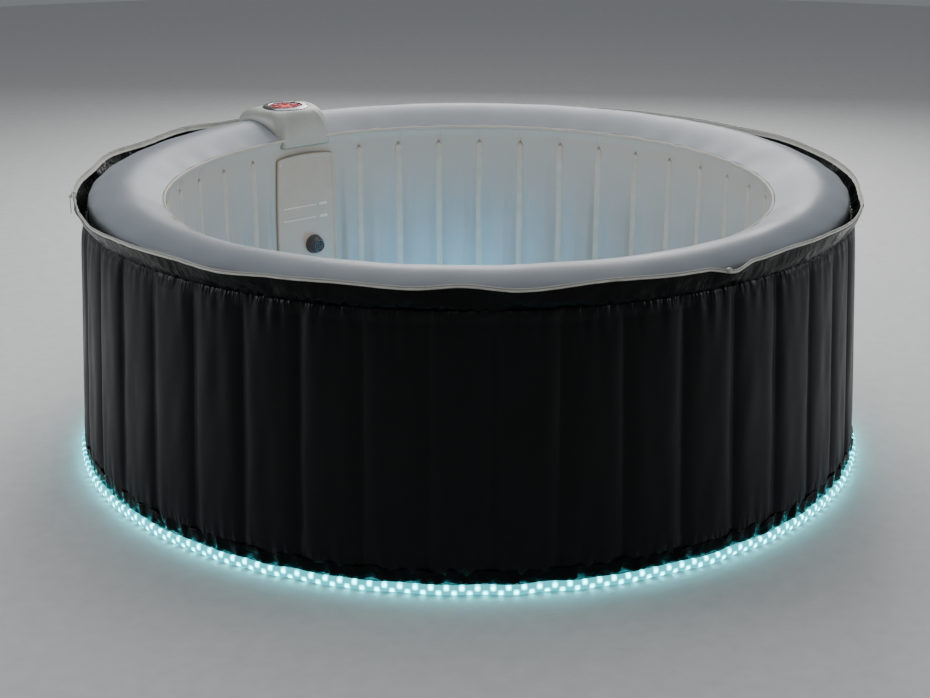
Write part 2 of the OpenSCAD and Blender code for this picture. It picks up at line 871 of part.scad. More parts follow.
// A drum of twelve blades on a shaft
module blower_fan() {
    front = blower_y + 2 * blower_wall;
    blade_h = 44;
    disc_t = 3;
    drum_r = blower_r - 8;
    blade_in = 20;
    color("white") union() {
        along_y(front + blade_h, blower_z, drum_r, disc_t);
        for (i = [0:11])
            translate([0, front, blower_z]) rotate([0, i * 30, 0])
                span([-0.8, 0, blade_in], [0.8, blade_h + 0.1, drum_r - 1]);
        along_y(front + blade_h - 2, blower_z, blower_shaft_r, 40);
    }
}

// From the filter's port to the pump
module suction_pipe() {
    foot = panel_back + casing_wall + 8;
    color("gray") tube_y(foot, filter_z, pipe_r, pipe_wall, pump_y - fit - foot);
}

// From the pump up to the heater
module pressure_pipe() {
    color("gray") translate([outlet_x, outlet_y, 0]) tube(9, pipe_wall, outlet_top + fit, heater_foot - 1);
}

// A straight stub behind the return nozzle
module return_pipe() { color("gray") tube_y(panel_back - 1, nozzle_z, pipe_r, pipe_wall, 40, nozzle_x); }

// Carries the blower's air out of the casing's side
module air_pipe() {
    len = 60;
    inside = 24;
    color("gray")
    difference() {
        along_x(casing_w / 2 - casing_wall - inside, air_y, blower_z, pipe_r, len);
        along_x(casing_w / 2 - casing_wall - inside - over, air_y, blower_z, pipe_r - pipe_wall, len + 2 * over);
    }
}

// ---- Fittings on the panel ----
// A flange, a tapered body and a face with nine slots
module return_nozzle() {
    base_r = nozzle_d / 2;
    face_r = 17;
    len = 32;
    flange_t = 5;
    face_t = 3.1;
    bore_r = 11;
    slot = [4, 6];
    slot_step = [7, 8.5];
    color("darkslategray") translate([nozzle_x, panel_y - fit, nozzle_z]) rotate([90, 0, 0]) difference() {
        union() {
            cylinder(h = flange_t, r = base_r);
            translate([0, 0, flange_t]) cylinder(h = len - flange_t - face_t + 0.1, r1 = base_r - 2, r2 = face_r + 1);
            translate([0, 0, len - face_t]) cylinder(h = face_t, r = face_r);
        }
        translate([0, 0, -over]) cylinder(h = len - face_t + over, r = bore_r);
        for (i = [-1:1], j = [-1:1])
            translate([i * slot_step[0] - slot[0] / 2, j * slot_step[1] - slot[1] / 2, len / 2])
                cube([slot[0], slot[1], len]);
    }
}

module filter_mount() {
    y = panel_y - fit;
    flange = [30, 10];
    neck_len = panel_t + casing_wall + 8;
    color("lightgray") difference() {
        union() {
            along_y(y - flange[1], filter_z, flange[0], flange[1]);
            along_y(y - 0.1, filter_z, port_r, neck_len);
        }
        along_y(y - flange[1] - over, filter_z, pipe_r, 2 * flange[1] + neck_len);
    }
}

// A pleated ring
module filter_cartridge() {
    pleat = [8, 2.8];
    pleat_count = 36;
    core_r = 16;
    r = cage_d / 2 - 6;
    color("white") translate([0, panel_y - fit - 14, filter_z]) rotate([90, 0, 0])
        linear_extrude(height = cage_len - 22) difference() {
            union() {
                circle(r = r - pleat[0] + 1);
                for (i = [0:pleat_count - 1])
                    rotate(i * 360 / pleat_count) translate([r - pleat[0], -pleat[1] / 2]) square(pleat);
            }
            circle(r = core_r);
        }
}

// A cup with rows of windows in its side, closed at its inner end
module filter_cage() {
    r = cage_d / 2;
    back = panel_y - fit - 12;
    len = cage_len - 12;
    wall = 3;
    hole = [18, 5, 12];
    hole_step = 11;
    hole_rows = 10;
    front = back - len;
    color("whitesmoke") difference() {
        along_y(front, filter_z, r, len);
        along_y(front + wall, filter_z, r - wall, cage_len);
        for (i = [0:hole_rows - 1], j = [0:5])
            translate([0, front + 8 + j * hole_step, filter_z]) rotate([0, i * 360 / hole_rows, 0])
                translate([-hole[0] / 2, 0, r - hole[2] / 2]) cube(hole);
    }
}

module cover_screws() {
    head = [3.6, 2.2];
    color("silver")
    for (s = SCREWS) union() {
        along_y(panel_y - head[1], s[1], head[0], head[1] - film_gap, s[0]);
        along_y(panel_y - head[1] / 2, s[1], screw_r, 12, s[0]);
    }
}

// A barrel through the door, a nut outside it and a domed end, all on one bore
module cable_gland() {
    y = jacket_out(gland_z) + fit + door_t;
    color("black") difference() {
        union() {
            along_y(y - 16, gland_z, gland_r, 18);
            along_y(y + 1, gland_z, gland_r + 4, 6);
            along_y(y + 6, gland_z, gland_r + 1, 14);
        }
        along_y(y - 20, gland_z, gland_bore_d / 2, 60);
    }
}

// ---- Valves ----
module valve_body() {
    y = jacket_out(valve_z);
    spigot_r = valve_r - 4;
    color("dimgray") at_angle(valve_angle) difference() {
        union() {
            along_y(y + 2.5, valve_z, valve_r + 12, 3);
            along_y(y - 46, valve_z, valve_r, 50);
            along_y(y + 3, valve_z, spigot_r, 14);
        }
        along_y(y - 47, valve_z, spigot_r - 3, 70);
    }
}

module valve_cap() {
    y = jacket_out(valve_z) + 6;
    len = 14;
    color("gray") at_angle(valve_angle) difference() {
        union() {
            along_y(y, valve_z, valve_r + 3, len);
            grip(y, valve_z, valve_r + 3, 1.2, len - 1, 12);
        }
        along_y(y - over, valve_z, valve_r - 4 + cap_gap, len - 2);
    }
}

// A through tube from the water to the cap, with a flange on each side of the wall
module drain_tube() {
    y0 = inner_r - 10;
    y1 = jacket_out(drain_z) + 2;
    neck = 16;
    color("dimgray") at_angle(drain_angle) difference() {
        union() {
            along_y(y0, drain_z, drain_r, y1 - y0 + neck);
            along_y(inner_r - 3.4, drain_z, drain_r + 6, 2);
            along_y(y1, drain_z, drain_r + 5, 3);
        }
        along_y(y0 - over, drain_z, drain_r - 3, far);
    }
}

module drain_cap() {
    y = jacket_out(drain_z) + 5.8;
    len = 15;
    color("black") at_angle(drain_angle) difference() {
        union() {
            along_y(y, drain_z, drain_r + 3.4, len);
            grip(y, drain_z, drain_r + 3.4, 1.4, len - 2, 10);
        }
        along_y(y - over, drain_z, drain_r + cap_gap, len - 1.5);
    }
}

outer_wall();
inner_wall();
top_rim();
base_sheet();
floor_pad();
tension_webs();
pocket_liner();
weld_strips();
rim_bead();
bubble_channel();
jacket();
jacket_hem();
collar();
zip_tape();
zip_coil();
zip_end_box();
zip_slider();
zip_puller();
light_sleeve();
light_tape();
light_emitters();
sleeve_clips();
light_connector();
inner_panel();
water_marks();
control_casing();
rear_door();
neck_duct();
control_cover();
bezel_ring();
pad_plate();
display_window();
keypad_board();
button(BUTTONS[0]);  // button_bubbles
button(BUTTONS[1]);  // button_heater
button(BUTTONS[2]);  // button_filter
button(BUTTONS[3]);  // button_power
button(BUTTONS[4]);  // button_down
button(BUTTONS[5]);  // button_up
control_board();
pump_housing();
pump_motor();
pump_impeller();
heater_tube();
blower_housing();
blower_fan();
suction_pipe();
pressure_pipe();
return_pipe();
air_pipe();
return_nozzle();
filter_mount();
filter_cartridge();
filter_cage();
cover_screws();
cable_gland();
valve_body();
valve_cap();
drain_tube();
drain_cap();
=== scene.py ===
"""Round inflatable hot tub: the looks of every piece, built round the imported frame.

All sizes are in metres, in the frame's own axes: +Z is up, and the control unit is on +Y.
An angle round the tub runs anticlockwise from +X, seen from above.
"""

import math

import bmesh
import bpy
import numpy as np
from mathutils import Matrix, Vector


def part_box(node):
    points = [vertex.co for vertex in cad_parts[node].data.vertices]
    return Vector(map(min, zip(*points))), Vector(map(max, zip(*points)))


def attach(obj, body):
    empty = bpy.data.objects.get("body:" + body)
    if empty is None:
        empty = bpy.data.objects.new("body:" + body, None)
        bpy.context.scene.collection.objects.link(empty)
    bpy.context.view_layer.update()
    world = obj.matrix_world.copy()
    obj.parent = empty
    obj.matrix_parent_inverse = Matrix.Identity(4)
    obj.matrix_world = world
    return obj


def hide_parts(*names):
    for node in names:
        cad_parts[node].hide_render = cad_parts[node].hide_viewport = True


bl_info = {
    "name": "Inflatable hot tub",
    "version": (1, 0, 0),
    "blender": (4, 5, 0),
    "location": "View3D > Sidebar > Hot tub",
    "description": "Builds a hot tub: padded jacket, air-filled walls, zip, control unit and lights",
    "category": "Object",
}

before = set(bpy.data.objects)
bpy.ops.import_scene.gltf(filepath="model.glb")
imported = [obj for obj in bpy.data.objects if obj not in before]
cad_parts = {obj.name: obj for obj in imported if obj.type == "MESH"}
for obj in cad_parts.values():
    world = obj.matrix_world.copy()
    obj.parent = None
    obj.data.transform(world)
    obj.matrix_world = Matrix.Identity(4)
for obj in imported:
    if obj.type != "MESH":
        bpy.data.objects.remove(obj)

TURN = 2 * math.pi
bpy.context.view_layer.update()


def reach(node):
    """The outer radius of a round CAD node."""
    return float(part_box(node)[1][0])


def low(node):
    """The height of a CAD node's underside."""
    return float(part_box(node)[0][2])


def high(node):
    """The height of a CAD node's top."""
    return float(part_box(node)[1][2])


def length(name, description, default):
    """A size in metres, for the sidebar."""
    return bpy.props.FloatProperty(
        name=name, description=description, default=default, unit="LENGTH", precision=4
    )


def angle_of(name, description, degrees):
    """An angle, for the sidebar."""
    return bpy.props.FloatProperty(
        name=name, description=description, default=math.radians(degrees), subtype="ANGLE"
    )


def number_of(name, description, default, least, most):
    """A count, for the sidebar."""
    return bpy.props.IntProperty(name=name, description=description, default=default, min=least, max=most)


def colour(name, description, default):
    """A colour for the sidebar, given as an sRGB hex value and kept linear."""
    return bpy.props.FloatVectorProperty(
        name=name, description=description, default=linear(default), subtype="COLOR", size=3, min=0, max=1
    )


def linear(code):
    """sRGB hex to linear: c / 12.92 for a channel up to 0.04045, and ((c + 0.055) / 1.055)^2.4 above."""
    channels = [int(code[i:i + 2], 16) / 255 for i in (1, 3, 5)]
    return tuple(c / 12.92 if c <= 0.04045 else ((c + 0.055) / 1.055) ** 2.4 for c in channels)


class TubSizes(bpy.types.PropertyGroup):
    """Sizes of the soft pieces, which the frame holds only as plain solids."""

    channels: number_of("Jacket channels", "Padded channels round the jacket", 44, 20, 80)
    channel_turn: angle_of("Channel start", "Angle of one jacket seam from +X", 6.0)
    quilt_depth: length("Quilt depth", "How far a channel stands out between its seams", 0.012)
    wall_lean: length("Wall lean", "How far the wall leans in from the ground to the crest", 0.040)
    webs: number_of("Webs", "Tension webs round the wall, each behind a welded strip", 40, 30, 54)
    wall_bulge: length("Wall bulge", "How far the inner wall swells between two webs", 0.013)
    seam_drop: length("Seam drop", "Height of the crest above the seam with the inner wall", 0.045)
    overhang: length("Rim overhang", "How far the rim reaches in past the inner wall", 0.010)
    edge_drop: length("Edge drop", "Height of the crest above the rim's outer edge", 0.028)
    zip_teeth: number_of("Zip teeth", "Turns of the zip's coil round the tub", 1050, 200, 2400)
    emitters: number_of("Emitters", "Light emitters in each of the tape's two rows", 192, 40, 400)
    sleeve_wave: length("Sleeve wave", "How far the light sleeve wanders up and down", 0.0015)


class TubColours(bpy.types.PropertyGroup):
    """Colours of the finishes that a buyer would choose."""

    jacket: colour("Jacket", "Quilted leatherette", "#0D0D0F")
    vinyl: colour("Collar", "Glossy vinyl of the collar and the hem", "#070708")
    rim: colour("Rim", "PVC of the rim", "#8A9096")
    wall: colour("Inner wall", "PVC of the inner wall and the floor", "#A3A8A9")
    tape: colour("Welded tape", "Strips and bead of the inner wall", "#B7B1A6")
    plate: colour("Panel", "Inner panel", "#B0A598")
    cover: colour("Cover", "Control cover", "#A0A39B")
    pad: colour("Control pad", "Control pad and its buttons", "#B00814")
    light: colour("Light", "Colour of the light tape", "#52E8F2")


class StageSizes(bpy.types.PropertyGroup):
    """Where the camera stands and how it looks."""

    distance: length("Distance", "Level distance from the tub's axis to the camera", 4.2635)
    height: length("Height", "Height of the camera", 1.6896)
    side: length("Side step", "How far the camera stands to the right of a line through the axis", -0.0096)
    bearing: angle_of("Bearing", "Level direction of view, from +X", 52.0)
    pitch: angle_of("Pitch", "How far the camera looks down", 19.163)
    lens: bpy.props.FloatProperty(name="Lens", description="Focal length in millimetres", default=65.1)


def sizes():
    return bpy.context.scene.tub_sizes


def colours():
    return bpy.context.scene.tub_colours


# ---- Meshes from grids ----


def quads(rows, columns, round_rows, round_columns):
    """The corners of each quad between four neighbours of a grid, as (row, column) pairs, and its faces.

    A round direction joins its last points to its first. Faces point along row step cross column step.
    """
    i, j = np.meshgrid(
        np.arange(rows if round_rows else rows - 1), np.arange(columns if round_columns else columns - 1),
        indexing="ij",
    )
    i, j = i.ravel(), j.ravel()
    corners = [(i, j), (i + 1, j), (i + 1, j + 1), (i, j + 1)]
    return corners, np.stack([a % rows * columns + b % columns for a, b in corners], axis=1)


def smooth_mesh(name, points, faces):
    """A mesh with smooth shading."""
    mesh = bpy.data.meshes.new(name)
    mesh.from_pydata(points.reshape(-1, 3), [], faces)
    mesh.polygons.foreach_set("use_smooth", np.ones(len(mesh.polygons), bool))
    mesh.update()
    return mesh


def close_poles(mesh, gap=1e-6):
    """Merges the points that a pole's row puts in one place."""
    work = bmesh.new()
    work.from_mesh(mesh)
    bmesh.ops.remove_doubles(work, verts=work.verts, dist=gap)
    work.to_mesh(mesh)
    work.free()
    mesh.update()


def grid_mesh(name, points, closed=True, poles=False, uv=None):
    """A mesh from rows by columns by 3 points: rows go all the way round, and columns do if it is closed.

    uv, in metres, has one more row and one more column than the points.
    """
    corners, faces = quads(*points.shape[:2], True, closed)
    mesh = smooth_mesh(name, points, faces)
    if uv is not None:
        layer = mesh.uv_layers.new(name="Cloth")
        loops = np.stack([uv[a, b] for a, b in corners], axis=1)
        layer.data.foreach_set("uv", loops.astype(np.float32).ravel())
    if poles:
        close_poles(mesh)
    return mesh


def tubes_mesh(name, grids):
    """Many tubes with pinched ends as one mesh: grids is copies by rows by columns by 3."""
    count, rows, columns = grids.shape[:3]
    _, one = quads(rows, columns, False, True)
    faces = one[None] + np.arange(count)[:, None, None] * rows * columns
    return smooth_mesh(name, grids, faces.reshape(-1, 4))


def piece(mesh, body, material, slot, *stands_for):
    """Puts a mesh into the scene as a piece that rides on a body and may stand for CAD nodes."""
    item = bpy.data.objects.new(mesh.name, mesh)
    bpy.context.scene.collection.objects.link(item)
    mesh.materials.append(finish(material))
    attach(item, body)
    if stands_for:
        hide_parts(*stands_for)
    return item


def round_points(radius, angle, height):
    """Points at a radius, an angle and a height, all of which may be grids."""
    radius, angle, height = np.broadcast_arrays(radius, angle, height)
    return np.stack([radius * np.cos(angle), radius * np.sin(angle), height], axis=-1)


def around(count):
    """Angles of count columns round the tub, as a column of a grid."""
    return (np.arange(count) * TURN / count)[:, None]


def ring(count):
    """Angles of count points round a section, as a row of a grid."""
    return np.linspace(0, TURN, count, endpoint=False)[None]


def signed_power(x, power):
    """|x| to a power, with the sign of x: below 1 it squares a sine or a cosine up."""
    return np.sign(x) * np.abs(x) ** power


def smooth_step(x, start, end):
    """0 before start, 1 after end, and 3t^2 - 2t^3 between."""
    t = np.clip((x - start) / (end - start), 0, 1)
    return t * t * (3 - 2 * t)


def bell(x, middle, width):
    """exp(-(distance / width)^2)."""
    return np.exp(-(((x - middle) / width) ** 2))


def apart(angle, place):
    """The angle from a place round the tub, from -pi to pi."""
    return (angle - place + math.pi) % TURN - math.pi


def ripples(angle, height, waves, lean, seed, count=9):
    """A sum of count sines round the tub, with whole numbers of waves within the two given and random phases.

    A wave's phase also moves by up to lean radians per metre of height, so folds run a little aslant.
    The sum's spread is 1.
    """
    draw = np.random.default_rng(seed)
    total = 0
    for number in draw.integers(*waves, count):
        phase, slant = draw.uniform(0, TURN), draw.uniform(-lean, lean)
        total = total + np.sin(number * angle + phase + slant * height)
    return total * math.sqrt(2 / count)


# ---- Materials ----


def per_metre(size_mm):
    """Texture scale that repeats every size_mm millimetres."""
    return 1000 / size_mm


def shade(paint):
    """A linear colour, from an sRGB code or the name of one of the sidebar's colours."""
    return linear(paint) if paint.startswith("#") else tuple(getattr(colours(), paint))


class Surface:
    """A material being made: its nodes, its shader, and the Object coordinates that its textures read."""

    def __init__(self, tree):
        self.tree, self.shader = tree, tree.nodes["Principled BSDF"]
        self.place = self.add("TexCoord").outputs["Object"]

    def shader_inputs(self, **inputs):
        """Gives the shader its constant inputs, by name."""
        for key, value in inputs.items():
            self.shader.inputs[key.replace("_", " ")].default_value = value

    def feed(self, name, socket):
        """Links a socket to one of the shader's inputs."""
        self.tree.links.new(socket, self.shader.inputs[name])

    def add(self, kind, links=None, **settings):
        """Adds a node: a setting is a property or an input's value, and links are {input: socket}."""
        made = self.tree.nodes.new("ShaderNode" + kind)
        for key, value in settings.items():
            if hasattr(made, key):
                setattr(made, key, value)
            else:
                made.inputs[key.replace("_", " ")].default_value = value
        for key, socket in (links or {}).items():
            self.tree.links.new(socket, made.inputs[key])
        return made

    def noise(self, size_mm, place=None, **settings):
        """Noise whose patches are size_mm wide."""
        links = {"Vector": place or self.place}
        return self.add("TexNoise", links, Scale=per_metre(size_mm), **settings).outputs["Fac"]

    def cells(self, size_mm):
        """Pebbles that are size_mm wide."""
        made = self.add("TexVoronoi", {"Vector": self.place}, feature="F1", Scale=per_metre(size_mm))
        return made.outputs["Distance"]

    def bands(self, place, direction, size_mm, **settings):
        """Waves that are size_mm apart."""
        settings["Scale"] = per_metre(size_mm) / TURN * 2
        return self.add("TexWave", {"Vector": place}, bands_direction=direction, **settings).outputs["Fac"]

    def maths(self, operation, *terms):
        """The result of a maths node: each term is a socket or a number."""
        made = self.add("Math", operation=operation)
        for slot, term in zip(made.inputs, terms):
            if isinstance(term, bpy.types.NodeSocket):
                self.tree.links.new(term, slot)
            else:
                slot.default_value = term
        return made.outputs["Value"]

    def ranged(self, value, start, end, least=0.0, most=1.0, **settings):
        """A value's way from start to end, as least to most."""
        return self.add("MapRange", {"Value": value}, From_Min=start, From_Max=end, To_Min=least, To_Max=most,
                        **settings).outputs["Result"]

    def axes(self):
        """The three Object coordinates."""
        return self.add("SeparateXYZ", {"Vector": self.place}).outputs

    def tint(self, fac, base, spread, bright=1.0):
        """Base colour from base darkened by spread to base lightened by it, as fac goes from 0.3 to 0.7."""
        ramp = self.add("ValToRGB", {"Fac": fac})
        ends = ramp.color_ramp.elements
        ends[0].color = (*[c * (1 - spread) for c in shade(base)], 1)
        ends[1].color = (*[min(1, c * (1 + spread) * bright) for c in shade(base)], 1)
        ends[0].position, ends[1].position = 0.3, 0.7
        self.feed("Base Color", ramp.outputs["Color"])
        return ramp.outputs["Color"]

    def rough(self, fac, least, most):
        """Roughness from least to most as fac goes from 0.3 to 0.7."""
        self.feed("Roughness", self.ranged(fac, 0.3, 0.7, least, most))

    def mottle(self, fac, base, spread, least, most):
        """Base colour and roughness that both follow fac."""
        self.rough(fac, least, most)
        return self.tint(fac, base, spread)

    def relief(self, *layers):
        """Bump layers, coarsest first: each is (height socket, depth in metres, strength)."""
        links = {}
        for height, depth, strength in layers:
            bump = self.add("Bump", {"Height": height, **links}, Distance=depth, Strength=strength)
            links = {"Normal": bump.outputs["Normal"]}
        self.feed("Normal", links["Normal"])


def leatherette(surface):
    """Polyurethane leather on foam: satin black, with grain, cloudy wear and gathers at both seams."""
    surface.shader_inputs(Specular_IOR_Level=0.17, IOR=1.5)
    surface.mottle(surface.noise(240, Detail=4, Roughness=0.6), "jacket", 0.25, 0.34, 0.46)
    # Creases where the cover hangs slack, some 60 mm apart
    creases = surface.noise(60, Detail=3, Distortion=1.2)
    # Gathers: noise on the cloth map, 14 mm wide and 70 mm tall, under the top seam and over the hem
    cloth = surface.add("UVMap", uv_map="Cloth").outputs["UV"]
    tall = surface.add("Mapping", {"Vector": cloth}, Scale=(per_metre(14), per_metre(70), 1))
    gathers = surface.noise(1000, tall.outputs["Vector"], Detail=2, Distortion=0.3)
    height, foot, top = surface.axes()["Z"], low("jacket"), high("jacket")
    near = surface.maths(
        "MAXIMUM",
        surface.ranged(height, top - 0.034, top - 0.004, interpolation_type="SMOOTHSTEP"),
        surface.ranged(height, foot + 0.06, foot + 0.02, interpolation_type="SMOOTHSTEP"),
    )
    # Grain cells of a real leatherette are 1 mm wide: drawn at 3 mm, the smallest that shows
    surface.relief((creases, 0.002, 0.25), (surface.maths("MULTIPLY", gathers, near), 0.010, 0.9),
                   (surface.cells(3), 0.0006, 0.15))


def vinyl_film(surface):
    """Calendered PVC film: deep black with sharp highlights broken by crumples."""
    surface.shader_inputs(Specular_IOR_Level=0.09, IOR=1.53, Coat_Weight=0.02, Coat_Roughness=0.1)
    surface.mottle(surface.noise(90, Detail=3), "vinyl", 0.3, 0.16, 0.34)
    surface.relief((surface.noise(34, Detail=1.5, Distortion=1.4), 0.006, 0.5))


def pvc_sheet(surface, base, least, most, slack_mm=120):
    """Welded PVC sheet under air pressure: satin, faintly pebbled, with soft waves where it is less tight."""
    surface.shader_inputs(Specular_IOR_Level=0.2, IOR=1.53)
    tint = surface.mottle(surface.noise(160, Detail=4, Roughness=0.55), base, 0.05, least, most)
    # The pebble of the real sheet is 0.5 mm: drawn at 2.5 mm
    surface.relief((surface.noise(slack_mm, Detail=1), 0.006, 0.12), (surface.cells(2.5), 0.0003, 0.12))
    return tint


def wall_sheet_beige_top(surface):
    """Blue-grey sheet of the inner wall, which turns to beige in the band above its strips."""
    tint = pvc_sheet(surface, "wall", 0.42, 0.56, 70)
    # Lighter and beige towards the top: the colour blends to a pale beige from 0.40 m up to 0.64 m
    share = surface.ranged(surface.axes()["Z"], 0.40, 0.64)
    blend = surface.add("Mix", {"Factor": share, "A": tint}, data_type="RGBA")
    blend.inputs["B"].default_value = (*linear("#B3AFA7"), 1)
    surface.feed("Base Color", blend.outputs["Result"])


def pressed_tape(surface):
    """Beige PVC tape, welded by heat: matt, with ribs 2 mm apart from the press."""
    surface.shader_inputs(Specular_IOR_Level=0.35, IOR=1.53)
    surface.mottle(surface.noise(35, Detail=4), "tape", 0.08, 0.48, 0.62)
    ribs = surface.bands(surface.place, "Z", 2, wave_type="BANDS", Distortion=0.5)
    surface.relief((ribs, 0.0004, 0.3))


def moulded(surface, base, least=0.42, most=0.55, grain_mm=1.6, depth=0.00012, specular=0.5):
    """Injection-moulded ABS or polypropylene: a fine spark-eroded grain, and handling marks in the gloss."""
    surface.shader_inputs(Specular_IOR_Level=specular, IOR=1.5)
    surface.mottle(surface.noise(45, Detail=4, Roughness=0.6), base, 0.045, least, most)
    surface.relief((surface.noise(grain_mm, Detail=2), depth, 0.5))


def twill(surface):
    """Polyester zip tape: a twill of pale grey threads."""
    surface.shader_inputs(Specular_IOR_Level=0.25, Sheen_Weight=0.2)
    cloth = surface.add("UVMap", uv_map="Cloth").outputs["UV"]
    surface.mottle(surface.noise(50, Detail=4), "#D9D7CC", 0.1, 0.75, 0.9)
    # Threads of 0.6 mm are drawn 2.5 mm apart, so that they show
    weave = surface.maths("MULTIPLY", surface.bands(cloth, "X", 2.5), surface.bands(cloth, "Y", 2.5))
    surface.relief((weave, 0.0005, 0.6))


def enamel(surface, base, roughness=0.22):
    """Zinc casting or steel under baked enamel: glossy, a little orange-peeled."""
    surface.shader_inputs(IOR=1.5, Coat_Weight=0.3, Coat_Roughness=0.08)
    peel = surface.noise(4, Detail=2)
    surface.mottle(peel, base, 0.03, roughness, roughness + 0.1)
    surface.relief((peel, 0.0002, 0.2))


def metal(surface, base, least, most, grain_mm):
    """Bare metal with faint smears: grain_mm is the spacing of its fine scratches."""
    surface.shader_inputs(Metallic=1.0)
    surface.mottle(surface.noise(20, Detail=3), base, 0.04, least, most)
    surface.relief((surface.noise(grain_mm, Detail=5, Roughness=0.7), 0.00005, 0.4))


def pad_lacquer_painted_shade(surface):
    """Polycarbonate printed red from behind, and satin: its red is lighter in the middle and darker at its
    edge, as painted light and painted shade.
    """
    surface.shader_inputs(Specular_IOR_Level=0.04, IOR=1.58)
    middle = [(a + b) / 2 for a, b in zip(*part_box("pad_plate"))]
    place = surface.add("Mapping", {"Vector": surface.place}, vector_type="POINT",
                        Location=[-m for m in middle]).outputs["Vector"]
    # From near the middle to near the pad's edge, 49 mm out
    away = surface.add("VectorMath", {0: place}, operation="LENGTH").outputs["Value"]
    # Painted light and shade: the red is lighter in the middle and darker towards the edge by the bezel
    surface.tint(surface.ranged(away, 0.01, 0.046, 0.78, 0.28), "pad", 0.45, 0.8)
    scuff = surface.noise(12, place, Detail=4)
    surface.rough(scuff, 0.3, 0.4)
    surface.relief((scuff, 0.0001, 0.2))


def lens(surface, base, glow, strength, roughness=0.3):
    """A lens with light behind it: glow colours the light, and specks of dust break its gloss."""
    surface.shader_inputs(IOR=1.49, Emission_Strength=strength, Emission_Color=(*shade(glow), 1))
    surface.mottle(surface.noise(6, Detail=3), base, 0.05, roughness, roughness + 0.15)


def lit_sleeve(surface):
    """Clear soft PVC tube over the light tape: a soft band of light, with a bright spot over each emitter.

    A row's spots are max(0, cos(n a + shift))^2, with n emitters round the tub and rows half a step apart.
    """
    lens(surface, "#2E9FB0", "light", 1.0, 0.2)
    axes = surface.axes()
    turn = surface.maths("ARCTAN2", axes["Y"], axes["X"])
    row_z = 0.006
    rows = []
    for row in (-1, 1):
        phase = surface.maths("MULTIPLY_ADD", turn, sizes().emitters, -row * math.pi / 2)
        spots = surface.maths("POWER", surface.maths("MAXIMUM", surface.maths("COSINE", phase), 0), 2)
        middle = (low("light_sleeve") + high("light_sleeve")) / 2 + row * row_z
        away = surface.maths("ABSOLUTE", surface.maths("SUBTRACT", axes["Z"], middle))
        rows.append(surface.maths("MULTIPLY", spots, surface.ranged(away, 0.001, 0.008, 1, 0)))
    surface.feed("Emission Strength", surface.ranged(surface.maths("ADD", *rows), 0, 1, 0.9, 16.0))


def circuit_board(surface):
    """Glass-fibre board under green resist, with solder and tracks as a fine pattern."""
    surface.shader_inputs(IOR=1.55, Coat_Weight=0.4, Coat_Roughness=0.2)
    tracks = surface.add("TexBrick", {"Vector": surface.place}, Scale=per_metre(8), Mortar_Size=0.06,
                         Color1=(*linear("#1F5A2E"), 1), Color2=(*linear("#174825"), 1),
                         Mortar=(*linear("#4C8A56"), 1)).outputs
    surface.feed("Base Color", tracks["Color"])
    surface.rough(tracks["Fac"], 0.35, 0.5)
    surface.relief((tracks["Fac"], 0.0002, 0.4))


def fleece(surface):
    """Pleated polyester fleece: matt, fibrous, off-white."""
    surface.shader_inputs(Specular_IOR_Level=0.15, Sheen_Weight=0.3)
    fibres = surface.noise(2, Detail=5, Distortion=2.0)
    surface.mottle(fibres, "#E6E4DA", 0.08, 0.85, 0.95)
    surface.relief((fibres, 0.0006, 0.6))


# Each material's recipe with its settings: mostly its colour and its least and most roughness
FINISHES = {
    "quilted_leatherette": (leatherette,),
    "glossy_vinyl": (vinyl_film,),
    "rim_pvc_sheet": (pvc_sheet, "rim", 0.34, 0.46),
    "wall_pvc_sheet": (wall_sheet_beige_top,),
    "inner_pvc_sheet": (pvc_sheet, "#7C8084", 0.45, 0.6),
    "welded_pvc_tape": (pressed_tape,),
    "panel_abs": (moulded, "plate", 0.45, 0.6),
    "cover_abs": (moulded, "cover", 0.36, 0.46, 1.2, 0.00008),
    "black_abs": (moulded, "#1A1B1D", 0.42, 0.56),
    "dark_grey_abs": (moulded, "#36393C", 0.4, 0.52),
    "casing_abs": (moulded, "#84878A", 0.45, 0.58),
    "cap_abs": (moulded, "#6E7275", 0.42, 0.55),
    "polished_dark_abs": (moulded, "#44474C", 0.26, 0.4, 2.0, 0.00004),
    "rigid_pvc_tube": (moulded, "#8C8F92", 0.32, 0.42),
    "white_polypropylene": (moulded, "#E4E6E6", 0.38, 0.5),
    "zip_nylon": (moulded, "#A5A59C", 0.34, 0.46),
    "pale_printed_mark": (moulded, "#D5CFC4", 0.5, 0.62),
    "red_key_polycarbonate": (moulded, "#A50F1B", 0.3, 0.4, 1.6, 0.00004, 0.04),
    "pale_symbol_ink": (moulded, "#E9DAD6", 0.4, 0.5),
    "pale_sealed_floor": (moulded, "#DCDCDA", 0.5, 0.62, 20, 0.0002),
    "woven_zip_tape": (twill,),
    "slider_enamel": (enamel, "#D4D6D6"),
    "puller_coating": (enamel, "#ECEEF0", 0.2),
    "motor_paint": (enamel, "#17181A", 0.35),
    "chrome_plating": (metal, "#9DA0A3", 0.1, 0.2, 1.0),
    "stainless_steel": (metal, "#C3C5C7", 0.24, 0.38, 0.8),
    "red_pad_polycarbonate": (pad_lacquer_painted_shade,),
    "display_window": (lens, "#C0161C", "#FF2A1E", 0.8, 0.12),
    "emitter_lens": (lens, "#D8FFFC", "light", 14.0),
    "light_tape_circuit": (lens, "#E6F4F3", "light", 0.6, 0.4),
    "clear_pvc_sleeve": (lit_sleeve,),
    "green_circuit_board": (circuit_board,),
    "filter_fleece": (fleece,),
}


def finish(name):
    """The material of a name, made by its recipe on first use."""
    material = bpy.data.materials.get(name)
    if not material:
        material = bpy.data.materials.new(name)
        material.use_nodes = True
        recipe, *settings = FINISHES[name]
        recipe(Surface(material.node_tree), *settings)
    return material


# ---- Shapes of the soft pieces ----


